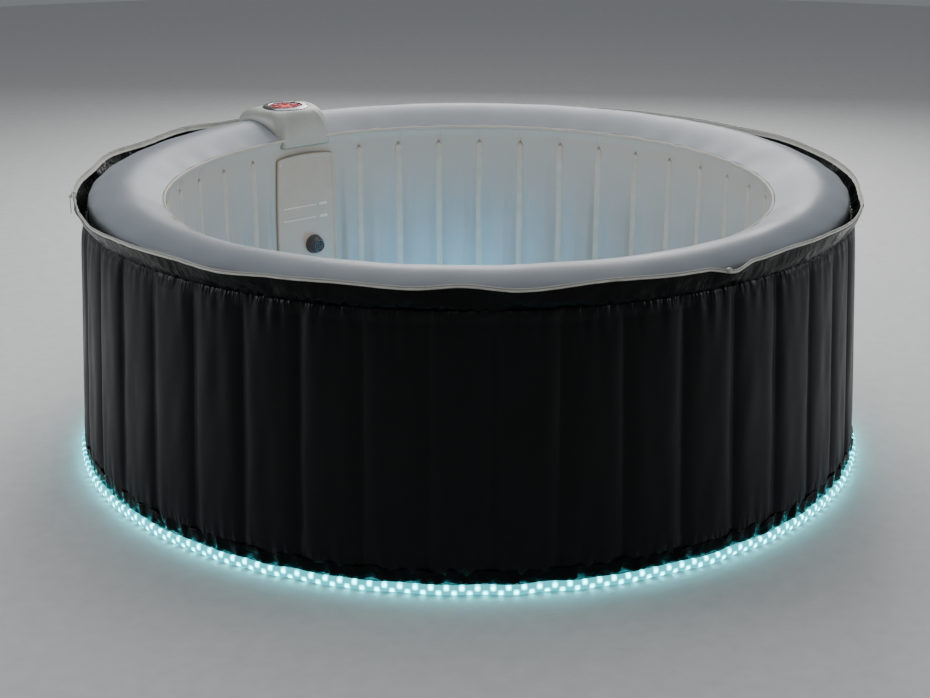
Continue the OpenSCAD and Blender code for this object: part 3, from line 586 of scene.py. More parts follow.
def rim_height(s):
    """Height of the rim at a share s of the way out: the straight line from seam to outer edge, plus a hump.

    The hump is sin(pi s^1.25)^0.8, so its crest lies past the middle.
    """
    z0, z1 = high("top_rim") - sizes().seam_drop, high("top_rim") - sizes().edge_drop
    hump = high("top_rim") - z0 - (z1 - z0) * 0.6
    return z0 + (z1 - z0) * s + hump * np.sin(math.pi * np.clip(s, 0, 1) ** 1.25) ** 0.8


def inner_radius():
    """Radius of the inner wall, from the floor pad that fills it."""
    return reach("floor_pad") + 0.001


def rim_share(radius):
    """Share of the way from the rim's inner seam to its outer edge."""
    inside = inner_radius() - sizes().overhang
    return (radius - inside) / (reach("top_rim") - inside)


def web_angle():
    """Angle of the first web: half a step past the control unit."""
    return math.pi / 2 + math.pi / sizes().webs


def between_webs(angle):
    """0 at a web, 1 at the next."""
    return (angle - web_angle()) * sizes().webs / TURN % 1


def under_panel(angle):
    """1 behind the inner panel, 0 away from it, with a soft edge a few degrees wide."""
    half = (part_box("inner_panel")[1][0] + 0.012) / inner_radius()
    return 1 - smooth_step(np.abs(apart(angle, math.pi / 2)), half, half + 0.03)


def jacket_radius(height):
    """Outer radius of the jacket over its seams' padding, leaning in with height."""
    foot = low("jacket")
    return reach("jacket") - sizes().wall_lean * (height - foot) / high("top_rim")


class BuildRim(bpy.types.Operator):
    """The padded rim: a crown over the wall's top, dented over the webs, with a bead along its inner seam"""

    bl_idname = "tub.build_rim"
    bl_label = "Rim"

    def execute(self, context):
        angle = around(720)
        s = np.linspace(1, 0, 60)[None]
        inside, outside = inner_radius() - sizes().overhang, reach("top_rim")
        # Dents: a shallow wave in step with the webs, deepest at the seams and gone at the crest
        dent = np.cos(TURN * between_webs(angle)) * (0.0012 * (1 - s) ** 4 + 0.0016 * s ** 6)
        slack = ripples(angle, 0, (5, 30), 0, 3) * 0.0007
        crown = rim_height(s) - dent + slack * np.sin(math.pi * s)
        top = round_points(inside + (outside - inside) * s, angle, crown)
        # The edge bulges a little and tucks under where it meets the wall
        tuck, bulge, tuck_depth = np.linspace(1, 0, 8)[None], 0.003, 0.026
        under_edge = outside + bulge * np.sin(math.pi * tuck)
        skirt = round_points(under_edge, angle, rim_height(1.0) - tuck_depth * tuck)
        outward, thick = s[:, -2:0:-1], 0.003
        back = round_points(inside + (outside - inside) * outward, angle, rim_height(outward) - thick)
        mesh = grid_mesh("padded_rim", np.concatenate([skirt[:, :-1], top, back], axis=1))
        piece(mesh, "tub", "rim_pvc_sheet", "pvc_rim", "top_rim")

        section, bead_r, proud, sunk = ring(14), 0.0042, 0.0012, 0.003
        wave = ripples(angle, 0, (30, 90), 0, 8) * 0.0005
        points = round_points(inside - proud + bead_r * np.cos(section), angle,
                              rim_height(0.0) - sunk + wave + bead_r * np.sin(section))
        piece(grid_mesh("seam_bead", points), "tub", "welded_pvc_tape", "weld_tape", "rim_bead")
        return {"FINISHED"}


class BuildInnerWall(bpy.types.Operator):
    """The inner wall, swollen between its webs, and the welded strips over them"""

    bl_idname = "tub.build_inner_wall"
    bl_label = "Inner wall"

    def execute(self, context):
        radius, step = inner_radius(), TURN / sizes().webs
        foot, seam = low("inner_wall"), rim_height(0.0)
        strip_top, half_width = seam - 0.045, 0.0105
        angle = around(sizes().webs * 28)
        up = np.linspace(1, 0, 64)[None]
        height = foot + (seam - 0.004 - foot) * up
        # A channel: flat over the strip, and 1 - |2t - 1|^2.4 between strips
        flat = half_width / radius / step
        t = np.clip((between_webs(angle) - flat) / (1 - 2 * flat), 0, 1)
        pillow = 1 - np.abs(2 * t - 1) ** 2.4
        ends = smooth_step(height, foot, foot + 0.05)
        ends = ends * (1 - smooth_step(height, strip_top - 0.30, seam - 0.002))
        # The sheet is drawn in where a strip ends, and small pleats run up from there to the seam
        web = np.minimum(between_webs(angle), 1 - between_webs(angle)) * step * radius
        drawn = bell(web, 0, 0.016) * bell(height, strip_top + 0.006, 0.016) * 0.0045
        pleats = np.cos(web * TURN / 0.019) * bell(web, 0, 0.03) * 0.0011
        pleats = pleats * bell(height, strip_top + 0.022, 0.014)
        slack = ripples(angle, height, (60, 200), 9, 5) * 0.0006 * ends
        swell = (sizes().wall_bulge * pillow * ends) * (1 - under_panel(angle))
        # Above the strips the wall runs in to meet the rim's seam
        inward = sizes().overhang * smooth_step(height, seam - 0.032, seam - 0.003)
        face = radius - swell + (drawn + pleats + slack) * (1 - under_panel(angle)) - inward
        points = round_points(face, angle, height)
        # The back follows the wall, out past its deepest pucker
        thick = 0.0075
        back = round_points(radius + thick - inward[:, ::-1], angle, height[:, ::-1])
        mesh = grid_mesh("inner_wall_sheet", np.concatenate([points, back], axis=1))
        piece(mesh, "tub", "wall_pvc_sheet", "pvc_wall", "inner_wall")
        self.strips(radius, step, foot, strip_top, half_width)
        return {"FINISHED"}

    def strips(self, radius, step, foot, top, half_width):
        """Each strip is a flat tube whose section shrinks to nothing over its round ends."""
        places = web_angle() + np.arange(sizes().webs) * step
        panel_half, clear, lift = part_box("inner_panel")[1][0], 0.014, 0.036
        places = places[np.abs(apart(places, math.pi / 2)) > (panel_half + clear) / radius]
        height = foot + lift + (top - foot - lift) * np.linspace(0, 1, 40)
        end = np.minimum(height - height[0], height[-1] - height) / half_width
        width = half_width * np.sqrt(np.clip(1 - (1 - np.clip(end, 0, 1)) ** 2, 0, 1))
        x = width[:, None] * signed_power(np.cos(ring(12)), 0.6)
        proud = 0.0022 * signed_power(np.sin(ring(12)), 0.8)
        y = radius + 0.0012 - proud * (width[:, None] / half_width) ** 0.5
        turn = places[:, None, None]
        grids = np.stack([
            y * np.cos(turn) - x * np.sin(turn), y * np.sin(turn) + x * np.cos(turn),
            np.broadcast_to(height[None, :, None], (len(places), *x.shape)),
        ], axis=-1)
        mesh = tubes_mesh("welded_strips", grids)
        close_poles(mesh)
        piece(mesh, "tub", "welded_pvc_tape", "weld_tape", "weld_strips")


class BuildFloor(bpy.types.Operator):
    """The foam floor pad, quilted in squares, inside the bubble channel"""

    bl_idname = "tub.build_floor"
    bl_label = "Floor"

    def execute(self, context):
        radius, foot, top = reach("floor_pad"), low("floor_pad"), high("floor_pad")
        angle = around(480)
        out = np.linspace(0, 1, 90)[None, ::-1]
        x, y = radius * out * np.cos(angle), radius * out * np.sin(angle)
        # Quilting: lines both ways, and |sin|^0.5 pillows between them
        square, depth = 0.13, 0.0035
        lines = (np.abs(np.sin(math.pi * x / square)) * np.abs(np.sin(math.pi * y / square))) ** 0.5
        upper = np.stack([x, y, top - depth * (1 - lines) * (1 - bell(out, 1, 0.05))], axis=-1)
        lower = np.stack([x[:, ::-1], y[:, ::-1], np.full_like(x, foot)], axis=-1)
        mesh = grid_mesh("floor_pad_quilt", np.concatenate([upper, lower[:, 1:]], axis=1), poles=True)
        pad = piece(mesh, "tub", "wall_pvc_sheet", "foam_floor", "floor_pad")
        return {"FINISHED"}


class BuildJacket(bpy.types.Operator):
    """The quilted jacket: padded channels between stitched seams, gathered at its top and its foot"""

    bl_idname = "tub.build_jacket"
    bl_label = "Jacket"

    def execute(self, context):
        count, foot, top = sizes().channels, low("jacket"), high("jacket")
        angle = around(count * 32)
        up = np.linspace(0, 1, 84)[None]
        # Rows lie closer together towards both ends, where the gathers are
        height = foot + (top - foot) * (up - 0.1 * np.sin(TURN * up))
        t = (angle - sizes().channel_turn) * count / TURN % 1
        draw = np.random.default_rng(11)
        # Each channel holds a little more or less padding than the next
        number = ((angle - sizes().channel_turn) * count / TURN % count).astype(int)
        fill = draw.uniform(0.82, 1.12, count)[number]
        skew = draw.uniform(-0.12, 0.12, count)[number]
        middle = 2 * t - 1
        pillow = (1 - np.abs(middle) ** 4.5) * (1 + skew * middle)
        near_top, near_foot = top - height, height - foot
        ends = (1 - np.exp(-near_top / 0.022)) * (1 - np.exp(-near_foot / 0.02))
        # Gathers: pleats 25 to 60 mm wide under the top seam and over the hem
        gathers = ripples(angle, height, (100, 250), 14, 21) * 0.0022 * np.exp(-near_top / 0.035)
        gathers = gathers + ripples(angle, height, (90, 230), 14, 22) * 0.0022 * np.exp(-near_foot / 0.04)
        # Slack: long creases that run out of the seams
        creases = ripples(angle, height, (44, 150), 30, 23) * 0.0004
        relief_out = sizes().quilt_depth * fill * pillow * ends + gathers * ends + creases
        face = jacket_radius(height) - 0.007 + relief_out * (1 - self.behind_door(angle, height))
        outer = round_points(face, angle, height)
        down = np.linspace(1, 0, 5)[None]
        back_height = foot + (top - foot) * down
        inner = round_points(jacket_radius(back_height) - 0.0118, angle, back_height)
        # Cloth map: metres round the tub, and metres up
        turned = np.append(angle[:, 0], TURN)[:, None] * reach("jacket")
        upright = np.concatenate([height, back_height, height[:, :1]], axis=1)
        uv = np.stack(np.broadcast_arrays(turned, upright), axis=-1)
        mesh = grid_mesh("quilted_jacket", np.concatenate([outer, inner], axis=1), uv=uv)
        jacket = piece(mesh, "tub", "quilted_leatherette", "leatherette", "jacket")
        self.hem(angle[::2])
        return {"FINISHED"}

    def behind_door(self, angle, height):
        """1 where the rear door presses the padding flat, falling to 0 over the 16 mm round it."""
        first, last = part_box("rear_door")
        away = np.abs(apart(angle, math.pi / 2)) * reach("jacket") - (last[0] - first[0]) / 2
        beyond = np.maximum(np.maximum(first[2] - height, height - last[2]), away)
        return 1 - smooth_step(beyond, 0.003, 0.019)

    def hem(self, angle):
        """A vinyl band round the foot, in uneven folds."""
        foot, top = low("jacket_hem") - 0.005, high("jacket_hem") - 0.004
        up, out = np.sin(ring(26)), np.cos(ring(26))
        height = (foot + top) / 2 + (top - foot) / 2 * signed_power(up, 0.7)
        folds = ripples(angle, height, (60, 170), 40, 31)
        fine = ripples(angle, height, (170, 330), 60, 32)
        sunk, half_thick = 0.004, 0.0022
        radius = reach("jacket_hem") - sunk + half_thick * signed_power(out, 0.5)
        radius = radius + 0.0020 * folds + 0.0009 * fine
        height = height + 0.0022 * ripples(angle, 0, (40, 120), 0, 33)
        mesh = grid_mesh("hem_band", round_points(radius, angle, height))
        piece(mesh, "tub", "glossy_vinyl", "leatherette", "jacket_hem")


# Turning points of the zip's line: degrees round the tub, then how far out and how far up in millimetres.
# It runs true where the slider rests and where it stops, on both sides of the end block at 265 degrees.
ZIP_SWINGS = [
    (0, -8, 0), (18, 0, -3), (40, -4, -9), (62, 0, -9), (85, 0, -9), (98, 2, -2), (107, 14, 3),
    (118, 2, -1), (128, 10, 3), (138, -4, 0), (146, 0, 0), (160, 0, 0), (166, 6, 0), (173, 12, -4),
    (182, 8, -2), (192, 4, -1), (200, 10, -5), (208, 0, 0), (216, -3, 2), (225, 3, -1), (231, -5, 4),
    (238, 6, -4), (249, -4, 4), (259, 0, 0), (262, 0, 0), (266, 11, -11), (270, 0, 0), (277, -4, 3),
    (284, 0, 1), (295, 6, -3), (303, 2, -1), (312, -9, 1), (325, -2, 0), (337, 3, 0), (350, 12, 0),
]


def zip_drift(angle):
    """How far the zip's line wanders out and up, in metres, easing from one turning point to the next."""
    degrees = np.degrees(angle) % 360
    turns = np.array([*ZIP_SWINGS, (360, *ZIP_SWINGS[0][1:])], float)
    at = np.clip(np.searchsorted(turns[:, 0], degrees, side="right") - 1, 0, len(ZIP_SWINGS) - 1)
    ease = smooth_step(degrees, turns[at, 0], turns[at + 1, 0])
    out, up = (turns[at, axis] + (turns[at + 1, axis] - turns[at, axis]) * ease for axis in (1, 2))
    return out / 1000, up / 1000


class BuildCollar(bpy.types.Operator):
    """The black vinyl collar between the jacket and the zip, gathered at its foot"""

    bl_idname = "tub.build_collar"
    bl_label = "Collar"

    def execute(self, context):
        angle = around(1408)
        foot, top = low("collar") - 0.004, high("collar") + 0.005
        start, end = jacket_radius(low("collar")) - 0.004, reach("collar") + 0.0015
        out, rise = zip_drift(angle)
        up = np.linspace(0, 1, 26)[None]
        # The section bells out over the stitching and comes back in under the zip: a flare t^1.2 and a belly
        # sin(pi t^0.7)
        belly = 0.006 + 0.002 * ripples(angle, 0, (7, 30), 0, 52)
        radius = start + (end - start + out) * up ** 1.2 + belly * np.sin(math.pi * up ** 0.7)
        height = foot + (top - foot + rise) * up
        pleats = ripples(angle, height, (110, 260), 30, 53)
        crumples = ripples(angle, height, (30, 110), 60, 54)
        radius = radius + pleats * 0.0014 * np.exp(-3 * up) + crumples * 0.0014 * np.sin(math.pi * up) ** 2
        height = height + 0.0008 * crumples * np.sin(math.pi * up) ** 2
        outer = round_points(radius, angle, height)
        thick = 0.0016
        inner = round_points((radius - thick)[:, ::-1], angle, height[:, ::-1])
        mesh = grid_mesh("vinyl_collar", np.concatenate([outer, inner], axis=1))
        collar = piece(mesh, "tub", "glossy_vinyl", "black_vinyl", "collar")
        return {"FINISHED"}


class BuildZip(bpy.types.Operator):
    """The open half of the zip: a woven tape with its coil, and the block over its two ends"""

    bl_idname = "tub.build_zip"
    bl_label = "Zip"

    def execute(self, context):
        angle = around(1408)
        out, rise = zip_drift(angle)
        # The tape's lower edge is sewn inside the collar's top
        foot, top = low("zip_tape") - 0.003, high("zip_tape")
        middle = reach("zip_tape") - 0.0008
        height = (foot + top) / 2 + rise + (top - foot) / 2 * signed_power(np.sin(ring(16)), 0.7)
        thick = 0.0009 * signed_power(np.cos(ring(16)), 0.5)
        flutter = 0.0003 * ripples(angle, height, (60, 160), 20, 61)
        # Below the collar's top the tape leans in behind it
        tuck = 0.0045 * (1 - smooth_step(height - rise, foot, high("collar") + 0.004))
        points = round_points(middle + out + thick + flutter - tuck, angle, height)
        length_round = np.linspace(0, TURN * middle, 1409)[:, None]
        across = np.linspace(0, 2 * (top - foot), 17)[None]
        uv = np.stack(np.broadcast_arrays(length_round, across), axis=-1)
        mesh = grid_mesh("woven_zip_tape", points, uv=uv)
        tape = piece(mesh, "tub", "woven_zip_tape", "zip_textile", "zip_tape")

        # The coil: a ring whose section swells once per tooth
        teeth = sizes().zip_teeth
        angle = around(teeth * 4)
        out, rise = zip_drift(angle)
        section, coil_r, dip = ring(8), 0.0018, 0.16
        r = coil_r * (1 - dip + dip * np.cos(teeth * angle))
        centre = (low("zip_coil") + high("zip_coil")) / 2
        points = round_points(middle + out + r * np.cos(section), angle, centre + rise + r * np.sin(section))
        piece(grid_mesh("zip_coil_teeth", points), "tub", "zip_nylon", "zip_plastic", "zip_coil")
        self.end_box(middle)
        return {"FINISHED"}

    def end_box(self, radius):
        """A rounded block over the zip's two ends: |x|^4 + |y|^4 + |z|^4 = 1, stretched along the tape"""
        first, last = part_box("zip_end_box")
        place = math.atan2(first[1] + last[1], first[0] + last[0])
        out, rise = (float(shift[0, 0]) for shift in zip_drift(np.array([[place]])))
        tilt = np.linspace(-math.pi / 2, math.pi / 2, 17)[None]
        ball = round_points(np.cos(tilt), around(32), np.sin(tilt))
        ball = ball / (np.abs(ball) ** 4).sum(axis=-1, keepdims=True) ** 0.25
        half_sizes = (0.0045, 0.0065, 0.0050)
        across, along, high_by = np.moveaxis(ball * half_sizes, -1, 0)
        points = np.stack([
            (radius + out + across) * math.cos(place) - along * math.sin(place),
            (radius + out + across) * math.sin(place) + along * math.cos(place),
            (first[2] + last[2]) / 2 + rise + high_by], axis=-1)
        mesh = grid_mesh("zip_end_block", points, closed=False, poles=True)
        piece(mesh, "tub", "zip_nylon", "zip_plastic", "zip_end_box")


def rounded_outline(half_width, low_z, high_z, corner, count=192):
    """Points of a rounded rectangle: each corner is an arc, and angles run anticlockwise from +X."""
    turn = np.linspace(0, TURN, count, endpoint=False)
    x = (half_width - corner) * np.clip(np.cos(turn) * 1.6, -1, 1)
    z = ((high_z - low_z) / 2 - corner) * np.clip(np.sin(turn) * 1.6, -1, 1)
    return x + corner * np.cos(turn), (low_z + high_z) / 2 + z + corner * np.sin(turn)


class BuildPanel(bpy.types.Operator):
    """The inner panel: a moulded plate with a raised border and soft edges"""

    bl_idname = "tub.build_panel"
    bl_label = "Inner panel"

    def execute(self, context):
        first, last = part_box("inner_panel")
        front, back = first[1], last[1]
        # Rings from the back edge, round the border and in: inset, and how far proud of the front
        rings = [(0.0, front - back), (0.0, -0.0015), (0.0008, 0.0016), (0.0030, 0.0032), (0.0080, 0.0036),
                 (0.0110, 0.0026), (0.0135, 0.0006), (0.0150, 0.0), (0.02, 0.0), (0.04, 0.0)]
        points = []
        for inset, proud in rings:
            corner = 0.036 - min(inset, 0.02)
            x, z = rounded_outline(last[0] - inset, first[2] + inset, last[2] - inset, corner)
            points.append(np.stack([x, np.full_like(x, front - proud), z], axis=-1))
        middle = np.array([0, front, (first[2] + last[2]) / 2])
        points.append(np.tile(middle, (len(points[0]), 1)))
        points.insert(0, np.tile([0, back, middle[2]], (len(points[0]), 1)))
        mesh = grid_mesh("moulded_panel", np.stack(points, axis=1), closed=False, poles=True)
        piece(mesh, "tub", "panel_abs", "panel_beige", "inner_panel")
        return {"FINISHED"}


class BuildNozzle(bpy.types.Operator):
    """The return nozzle: a round flange, a domed body and a slotted face that turns"""

    bl_idname = "tub.build_nozzle"
    bl_label = "Return nozzle"

    def execute(self, context):
        first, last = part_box("return_nozzle")
        x, z, base = (first[0] + last[0]) / 2, (first[2] + last[2]) / 2, last[1]
        long, radius = last[1] - first[1], (last[0] - first[0]) / 2
        # Profile from the flange's back to the face's recess: share of the radius, and share of the length
        profile = np.array([
            (0, 0), (1, 0), (1, 0.1), (0.98, 0.14), (0.94, 0.16), (0.93, 0.2), (0.91, 0.35), (0.86, 0.55),
            (0.76, 0.72), (0.64, 0.83), (0.60, 0.88), (0.60, 0.97), (0.58, 1.0), (0.53, 1.0), (0.51, 0.97),
            (0.51, 0.87), (0, 0.87),
        ])
        angle = around(72)
        r = radius * profile[None, :, 0]
        points = np.stack(np.broadcast_arrays(
            x - r * np.cos(angle), base - long * profile[None, :, 1], z + r * np.sin(angle)), axis=-1)
        mesh = grid_mesh("nozzle_body", points, closed=False, poles=True)
        body = piece(mesh, "nozzle", "polished_dark_abs", "nozzle_dark", "return_nozzle")
        body.modifiers.new("Soft edges", "BEVEL").width = 0.0006

        # Bars across the face: round rods in a cross-hatch
        grids, section, opening = [], ring(8), 0.53 * radius
        side, depth = 0.0015 * np.cos(section), base - long * 0.96 + 0.0012 * np.sin(section)
        for shift in (-0.5, 0, 0.5):
            half = opening * math.sqrt(1 - shift ** 2)
            along = np.linspace(-half, half, 2)[:, None]
            level = shift * opening
            grids.append(np.stack(np.broadcast_arrays(x + along, depth, z + level + side), axis=-1))
            grids.append(np.stack(np.broadcast_arrays(x + level - side, depth, z + along), axis=-1))
        piece(tubes_mesh("nozzle_bars", np.stack(grids)), "nozzle", "polished_dark_abs", "nozzle_dark")
        return {"FINISHED"}


def cover_outline(bearing):
    """Distance from the pad's centre to the nearest of the cover's four edges, with blunted corners.

    The edges are the front lip, the two flared sides and the back, which is an arc round the tub.
    The blunting is a power mean: the sum of (1 / distance)^p, to the power -1 / p.
    """
    lip_half, back_half, p = 0.082, 0.128, 26
    pad_y = sum(float(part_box("bezel_ring")[i][1]) for i in (0, 1)) / 2
    front, back = pad_y - float(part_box("control_cover")[0][1]), reach("top_rim") - 0.004
    flare = math.atan2(back_half - lip_half, back - pad_y + front)
    side = lip_half * math.cos(flare) + front * math.sin(flare)
    arc = -pad_y * np.sin(bearing) + np.sqrt(back ** 2 - (pad_y * np.cos(bearing)) ** 2)
    shares = [np.clip(-np.sin(bearing), 0, 1) / front, 1 / arc]
    for hand in (1, -1):
        facing = hand * np.cos(bearing) * math.cos(flare) - np.sin(bearing) * math.sin(flare)
        shares.append(np.clip(facing, 0, 1) / side)
    return sum(s ** p for s in shares) ** (-1 / p)


class BuildCover(bpy.types.Operator):
    """The control cover: a smooth saddle over the rim, flat where the pad sits"""

    bl_idname = "tub.build_cover"
    bl_label = "Control cover"

    def execute(self, context):
        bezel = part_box("bezel_ring")
        pad_y = (bezel[0][1] + bezel[1][1]) / 2
        flat_z, pad_r = bezel[0][2], (bezel[1][0] - bezel[0][0]) / 2
        bearing = around(420)
        k = np.sin(np.linspace(0, 1, 44)[None] * math.pi / 2)
        inside = pad_r - 0.012
        edge = cover_outline(bearing)
        away = inside + (edge - inside) * k
        # The skirt ends on the rim, or at the lip where the cover passes the rim's inner seam
        ex, ey = edge * np.cos(bearing), pad_y + edge * np.sin(bearing)
        share = rim_share(np.hypot(ex, ey))
        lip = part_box("control_cover")[0][2]
        on_rim = rim_height(share) + 0.0012
        end_z = np.where(share < 0.02, lip, lip + (on_rim - lip) * smooth_step(share, 0.0, 0.16))
        # The crown is a superellipse, (1 - k^a)^(1 / b): full at the sides, and near-flat over the lip
        plateau = (pad_r + 0.002 - inside) / (edge - inside)
        roll = np.clip((k - plateau) / (1 - plateau), 0, 1)
        slope = smooth_step(-np.sin(bearing), 0.55, 0.9)
        crown = (1 - roll ** (3.4 - 1.5 * slope)) ** (1 / (2.1 - 0.75 * slope))
        z = end_z + (flat_z - end_z) * crown
        # Underneath, the wall turns in by its thickness and closes below the pad
        thick = 0.003
        pad = np.array([0, pad_y, 0])
        rows = [round_points(away, bearing, z) + pad]
        for shrink, lift in ((0.0028, 0.0), (0.0034, 0.004)):
            rows.append(round_points(edge - shrink, bearing, end_z + lift) + pad)
        inner = inside + (edge - 0.004 - inside) * k[:, ::-1]
        rows.append(round_points(inner, bearing, z[:, ::-1] - thick) + pad)
        mesh = grid_mesh("cover_shell", np.concatenate(rows, axis=1)[:, ::-1])
        piece(mesh, "tub", "cover_abs", "cover_grey", "control_cover")
        return {"FINISHED"}


def stroke(path, width, height):
    """A raised line along a path of (x, y) points at z = 0: a round ridge with pinched ends."""
    path = np.asarray(path, float)
    step = np.gradient(path, axis=0)
    step = step / np.linalg.norm(step, axis=1, keepdims=True)
    side = np.stack([-step[:, 1], step[:, 0]], axis=1)
    thin = np.ones((len(path), 1))
    thin[[0, -1]] = 0.0
    thin[[1, -2]] = 0.8
    flat = path[:, None] + side[:, None] * (np.cos(ring(8)) * width / 2 * thin)[..., None]
    return np.concatenate([flat, (np.sin(ring(8)) * height * thin)[..., None]], axis=-1)


def arc_path(x, y, radius, start, end, count=20):
    """Points of an arc, from start to end in degrees."""
    turn = np.radians(np.linspace(start, end, count))
    return np.stack([x + radius * np.cos(turn), y + radius * np.sin(turn)], axis=1)


def line_path(x0, y0, x1, y1, count=20):
    """Points of a straight line."""
    return np.stack([np.linspace(x0, x1, count), np.linspace(y0, y1, count)], axis=1)


def wave_path(x, y, high_by, wide_by, count=20):
    """Points of an upright wave: one sine over its height."""
    t = np.linspace(-0.5, 0.5, count)
    return np.stack([x + wide_by * np.sin(TURN * t), y + high_by * t], axis=1)


# Plain symbols, in shares of the key's radius
SYMBOLS = {
    "button_power": [arc_path(0, 0, 0.45, 120, 420), line_path(0, 0.15, 0, 0.62)],
    "button_heater": [wave_path(x, 0, 0.9, 0.09) for x in (-0.32, 0, 0.32)],
    "button_bubbles": [arc_path(-0.22, -0.15, 0.24, 0, 350), arc_path(0.24, 0.0, 0.17, 0, 350),
                       arc_path(0.0, 0.38, 0.13, 0, 350)],
    "button_filter": [arc_path(0, 0, 0.5, 0, 355), line_path(-0.28, -0.28, 0.28, 0.28),
                      line_path(-0.28, 0.28, 0.28, -0.28)],
    "button_up": [line_path(-0.38, -0.18, 0, 0.28), line_path(0, 0.28, 0.38, -0.18)],
    "button_down": [line_path(-0.38, 0.18, 0, -0.28), line_path(0, -0.28, 0.38, 0.18)],
}


class BuildPad(bpy.types.Operator):
    """The control pad's keys: domed caps, each with a plain raised symbol"""

    bl_idname = "tub.build_pad"
    bl_label = "Control pad"

    def execute(self, context):
        for name, strokes in SYMBOLS.items():
            first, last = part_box(name)
            x, y = (first[0] + last[0]) / 2, (first[1] + last[1]) / 2
            flange, top, foot = (last[0] - first[0]) / 2, last[2], first[2]
            radius, step = flange - 0.001, foot + 0.0016
            # Profile from the underside to the crown: radius and height
            profile = np.array([
                (0, foot), (flange, foot), (flange, step), (radius, step), (radius, top - 0.0009),
                (radius - 0.0003, top - 0.0003), (radius - 0.0012, top), (radius * 0.8, top - 0.0001),
                (radius * 0.4, top - 0.0005), (0, top - 0.0006),
            ])
            points = round_points(profile[None, :, 0], around(48), profile[None, :, 1]) + np.array([x, y, 0])
            mesh = grid_mesh("key_" + name[7:], points, closed=False, poles=True)
            piece(mesh, name + "_cap", "red_key_polycarbonate", "button_red", name)
            # A symbol is turned to be read from the tub
            grids = np.stack([stroke(path * -radius, width=0.0014, height=0.0005) for path in strokes])
            grids = grids + np.array([x, y, top - 0.0002])
            mesh = tubes_mesh("symbol_" + name[7:], grids)
            close_poles(mesh)
            piece(mesh, name + "_cap", "pale_symbol_ink", "button_red")
        return {"FINISHED"}


class BuildLights(bpy.types.Operator):
    """The light tape's clear sleeve, lying a little unevenly round the foot"""

    bl_idname = "tub.build_lights"
    bl_label = "Light tape"

    def execute(self, context):
        angle = around(960)
        first, last = low("light_sleeve"), high("light_sleeve")
        up, out, half_thick = np.sin(ring(24)), np.cos(ring(24)), 0.005
        wave = sizes().sleeve_wave * ripples(angle, 0, (12, 60), 0, 71)
        height = (first + last) / 2 + wave + (last - first) / 2 * 0.94 * signed_power(up, 0.6)
        radius = reach("light_sleeve") - half_thick + half_thick * signed_power(out, 0.6)
        mesh = grid_mesh("clear_light_sleeve", round_points(radius, angle, height))
        piece(mesh, "tub", "clear_pvc_sleeve", "clear_sleeve", "light_sleeve")
        return {"FINISHED"}


# The CAD nodes that are shown as they are, by material
SHOWN_NODES = {
    "inner_pvc_sheet": ["outer_wall", "base_sheet", "tension_webs", "pocket_liner"],
    "wall_pvc_sheet": ["bubble_channel"],
    "slider_enamel": ["zip_slider"],
    "puller_coating": ["zip_puller"],
    "light_tape_circuit": ["light_tape"],
    "emitter_lens": ["light_emitters"],
    "dark_grey_abs": ["sleeve_clips", "pump_housing", "blower_housing", "valve_body", "drain_tube"],
    "black_abs": ["light_connector", "rear_door", "cable_gland", "drain_cap"],
    "pale_printed_mark": ["water_marks"],
    "casing_abs": ["control_casing", "neck_duct"],
    "chrome_plating": ["bezel_ring"],
    "red_pad_polycarbonate": ["pad_plate"],
    "display_window": ["display_window"],
    "green_circuit_board": ["keypad_board", "control_board"],
    "motor_paint": ["pump_motor"],
    "white_polypropylene": ["pump_impeller", "blower_fan", "filter_cage"],
    "stainless_steel": ["heater_tube", "cover_screws"],
    "rigid_pvc_tube": ["suction_pipe", "pressure_pipe", "return_pipe", "air_pipe"],
    "panel_abs": ["filter_mount"],
    "filter_fleece": ["filter_cartridge"],
    "cap_abs": ["valve_cap"],
}


class FinishNodes(bpy.types.Operator):
    """Gives each CAD node that is shown as it is its own finish"""

    bl_idname = "tub.finish_nodes"
    bl_label = "Hard pieces"

    def execute(self, context):
        for material, names in SHOWN_NODES.items():
            for name in names:
                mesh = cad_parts[name].data
                mesh.materials.clear()
                mesh.materials.append(finish(material))
        return {"FINISHED"}


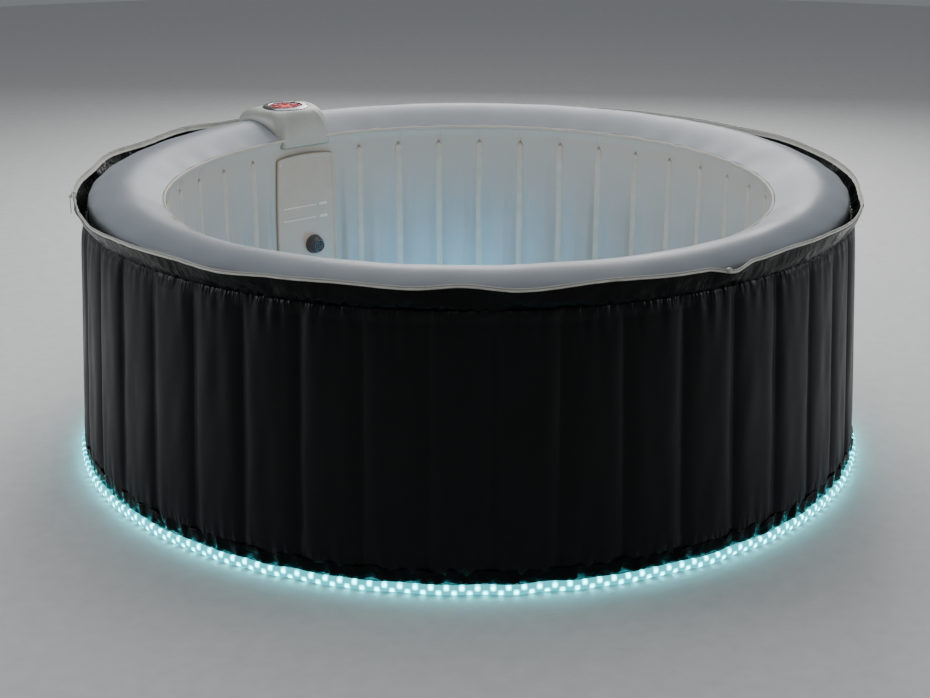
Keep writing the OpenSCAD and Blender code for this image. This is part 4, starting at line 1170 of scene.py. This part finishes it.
class BuildStage(bpy.types.Operator):
    """A pale floor, a soft studio and the camera"""

    bl_idname = "tub.build_stage"
    bl_label = "Stage"

    def execute(self, context):
        stage = context.scene.stage_sizes
        ahead = np.array([math.cos(stage.bearing), math.sin(stage.bearing)])
        right = np.array([ahead[1], -ahead[0]])
        place = -stage.distance * ahead + stage.side * right
        camera = bpy.data.objects.new("Camera", bpy.data.cameras.new("Camera"))
        camera.location = (*place, stage.height)
        camera.rotation_euler = (math.pi / 2 - stage.pitch, 0, stage.bearing - math.pi / 2)
        camera.data.lens = stage.lens
        camera.data.sensor_width = 36
        context.scene.collection.objects.link(camera)
        context.scene.camera = camera

        # The floor: a wide disc with a faint mottle, like sealed concrete
        out = np.linspace(9, 0, 12)[None]
        mesh = grid_mesh("floor", round_points(out, around(96), -0.0005), closed=False, poles=True)
        floor = bpy.data.objects.new("floor", mesh)
        context.scene.collection.objects.link(floor)
        mesh.materials.append(finish("pale_sealed_floor"))

        world = bpy.data.worlds.new("Studio")
        world.use_nodes = True
        background = world.node_tree.nodes["Background"].inputs
        background["Color"].default_value, background["Strength"].default_value = (0.62, 0.65, 0.69, 1), 0.30
        context.scene.world = world
        # Lamps: name, bearing in degrees from the camera's own, distance, height, size, power and colour
        for name, turn, distance, height, size, power, tint in (
            ("Overhead", 180, 1.3, 4.0, 3.4, 62, "#FFFFFF"),
            ("Left edge", -84, 3.8, 1.4, 1.4, 45, "#F4F8FF"),
            ("Right edge", 84, 3.8, 1.4, 1.4, 36, "#F4F8FF"),
            ("Back", 175, 3.4, 2.4, 2.4, 110, "#FFFFFF"),
            ("Front", -8, 2.6, 2.6, 0.7, 9, "#FFFFFF"),
        ):
            bearing = stage.bearing + math.pi + math.radians(turn)
            lamp = self.lamp(name, "AREA", tint, power, distance, bearing, height)
            lamp.data.size = size
            lamp.rotation_euler = (math.atan2(distance, height - 0.3), 0, bearing + math.pi / 2)
        # Inside the tub: a soft white fill as from bright water, and a cool glow low down at the back
        for name, tint, power, size, away, height in (
            ("Inner fill", "#FFF6EC", 8.5, 0.42, 0.0, 0.40),
            ("Inner glow", "#4FC8FF", 4.2, 0.10, 0.50, 0.12),
        ):
            lamp = self.lamp(name, "POINT", tint, power, away, math.radians(58), height)
            lamp.data.shadow_soft_size = size
            lamp.visible_camera = False
        return {"FINISHED"}

    def lamp(self, name, kind, tint, power, away, bearing, height):
        """Adds a lamp at a distance and a bearing from the tub's axis."""
        lamp = bpy.data.lights.new(name, kind)
        lamp.energy, lamp.color = power, linear(tint)
        item = bpy.data.objects.new(name, lamp)
        item.location = (away * math.cos(bearing), away * math.sin(bearing), height)
        bpy.context.scene.collection.objects.link(item)
        return item


class TubPanel(bpy.types.Panel):
    """Lists the steps that build the tub"""

    bl_idname = "TUB_PT_steps"
    bl_label = "Hot tub"
    bl_space_type = "VIEW_3D"
    bl_region_type = "UI"
    bl_category = "Hot tub"

    def draw(self, context):
        for step in STEPS:
            self.layout.operator(step.bl_idname)
        for group in (context.scene.tub_sizes, context.scene.tub_colours, context.scene.stage_sizes):
            for name in group.__annotations__:
                self.layout.prop(group, name)


STEPS = (BuildStage, BuildRim, BuildInnerWall, BuildFloor, BuildJacket, BuildCollar, BuildZip, BuildPanel,
         BuildNozzle, BuildCover, BuildPad, BuildLights, FinishNodes)
GROUPS = (("tub_sizes", TubSizes), ("tub_colours", TubColours), ("stage_sizes", StageSizes))


def register():
    for name, group in GROUPS:
        bpy.utils.register_class(group)
        setattr(bpy.types.Scene, name, bpy.props.PointerProperty(type=group))
    for step in (*STEPS, TubPanel):
        bpy.utils.register_class(step)


def unregister():
    for step in (TubPanel, *reversed(STEPS)):
        bpy.utils.unregister_class(step)
    for name, group in reversed(GROUPS):
        delattr(bpy.types.Scene, name)
        bpy.utils.unregister_class(group)


def main():
    register()
    for step in STEPS:
        group, action = step.bl_idname.split(".")
        getattr(getattr(bpy.ops, group), action)()


if __name__ == "__main__":
    main()
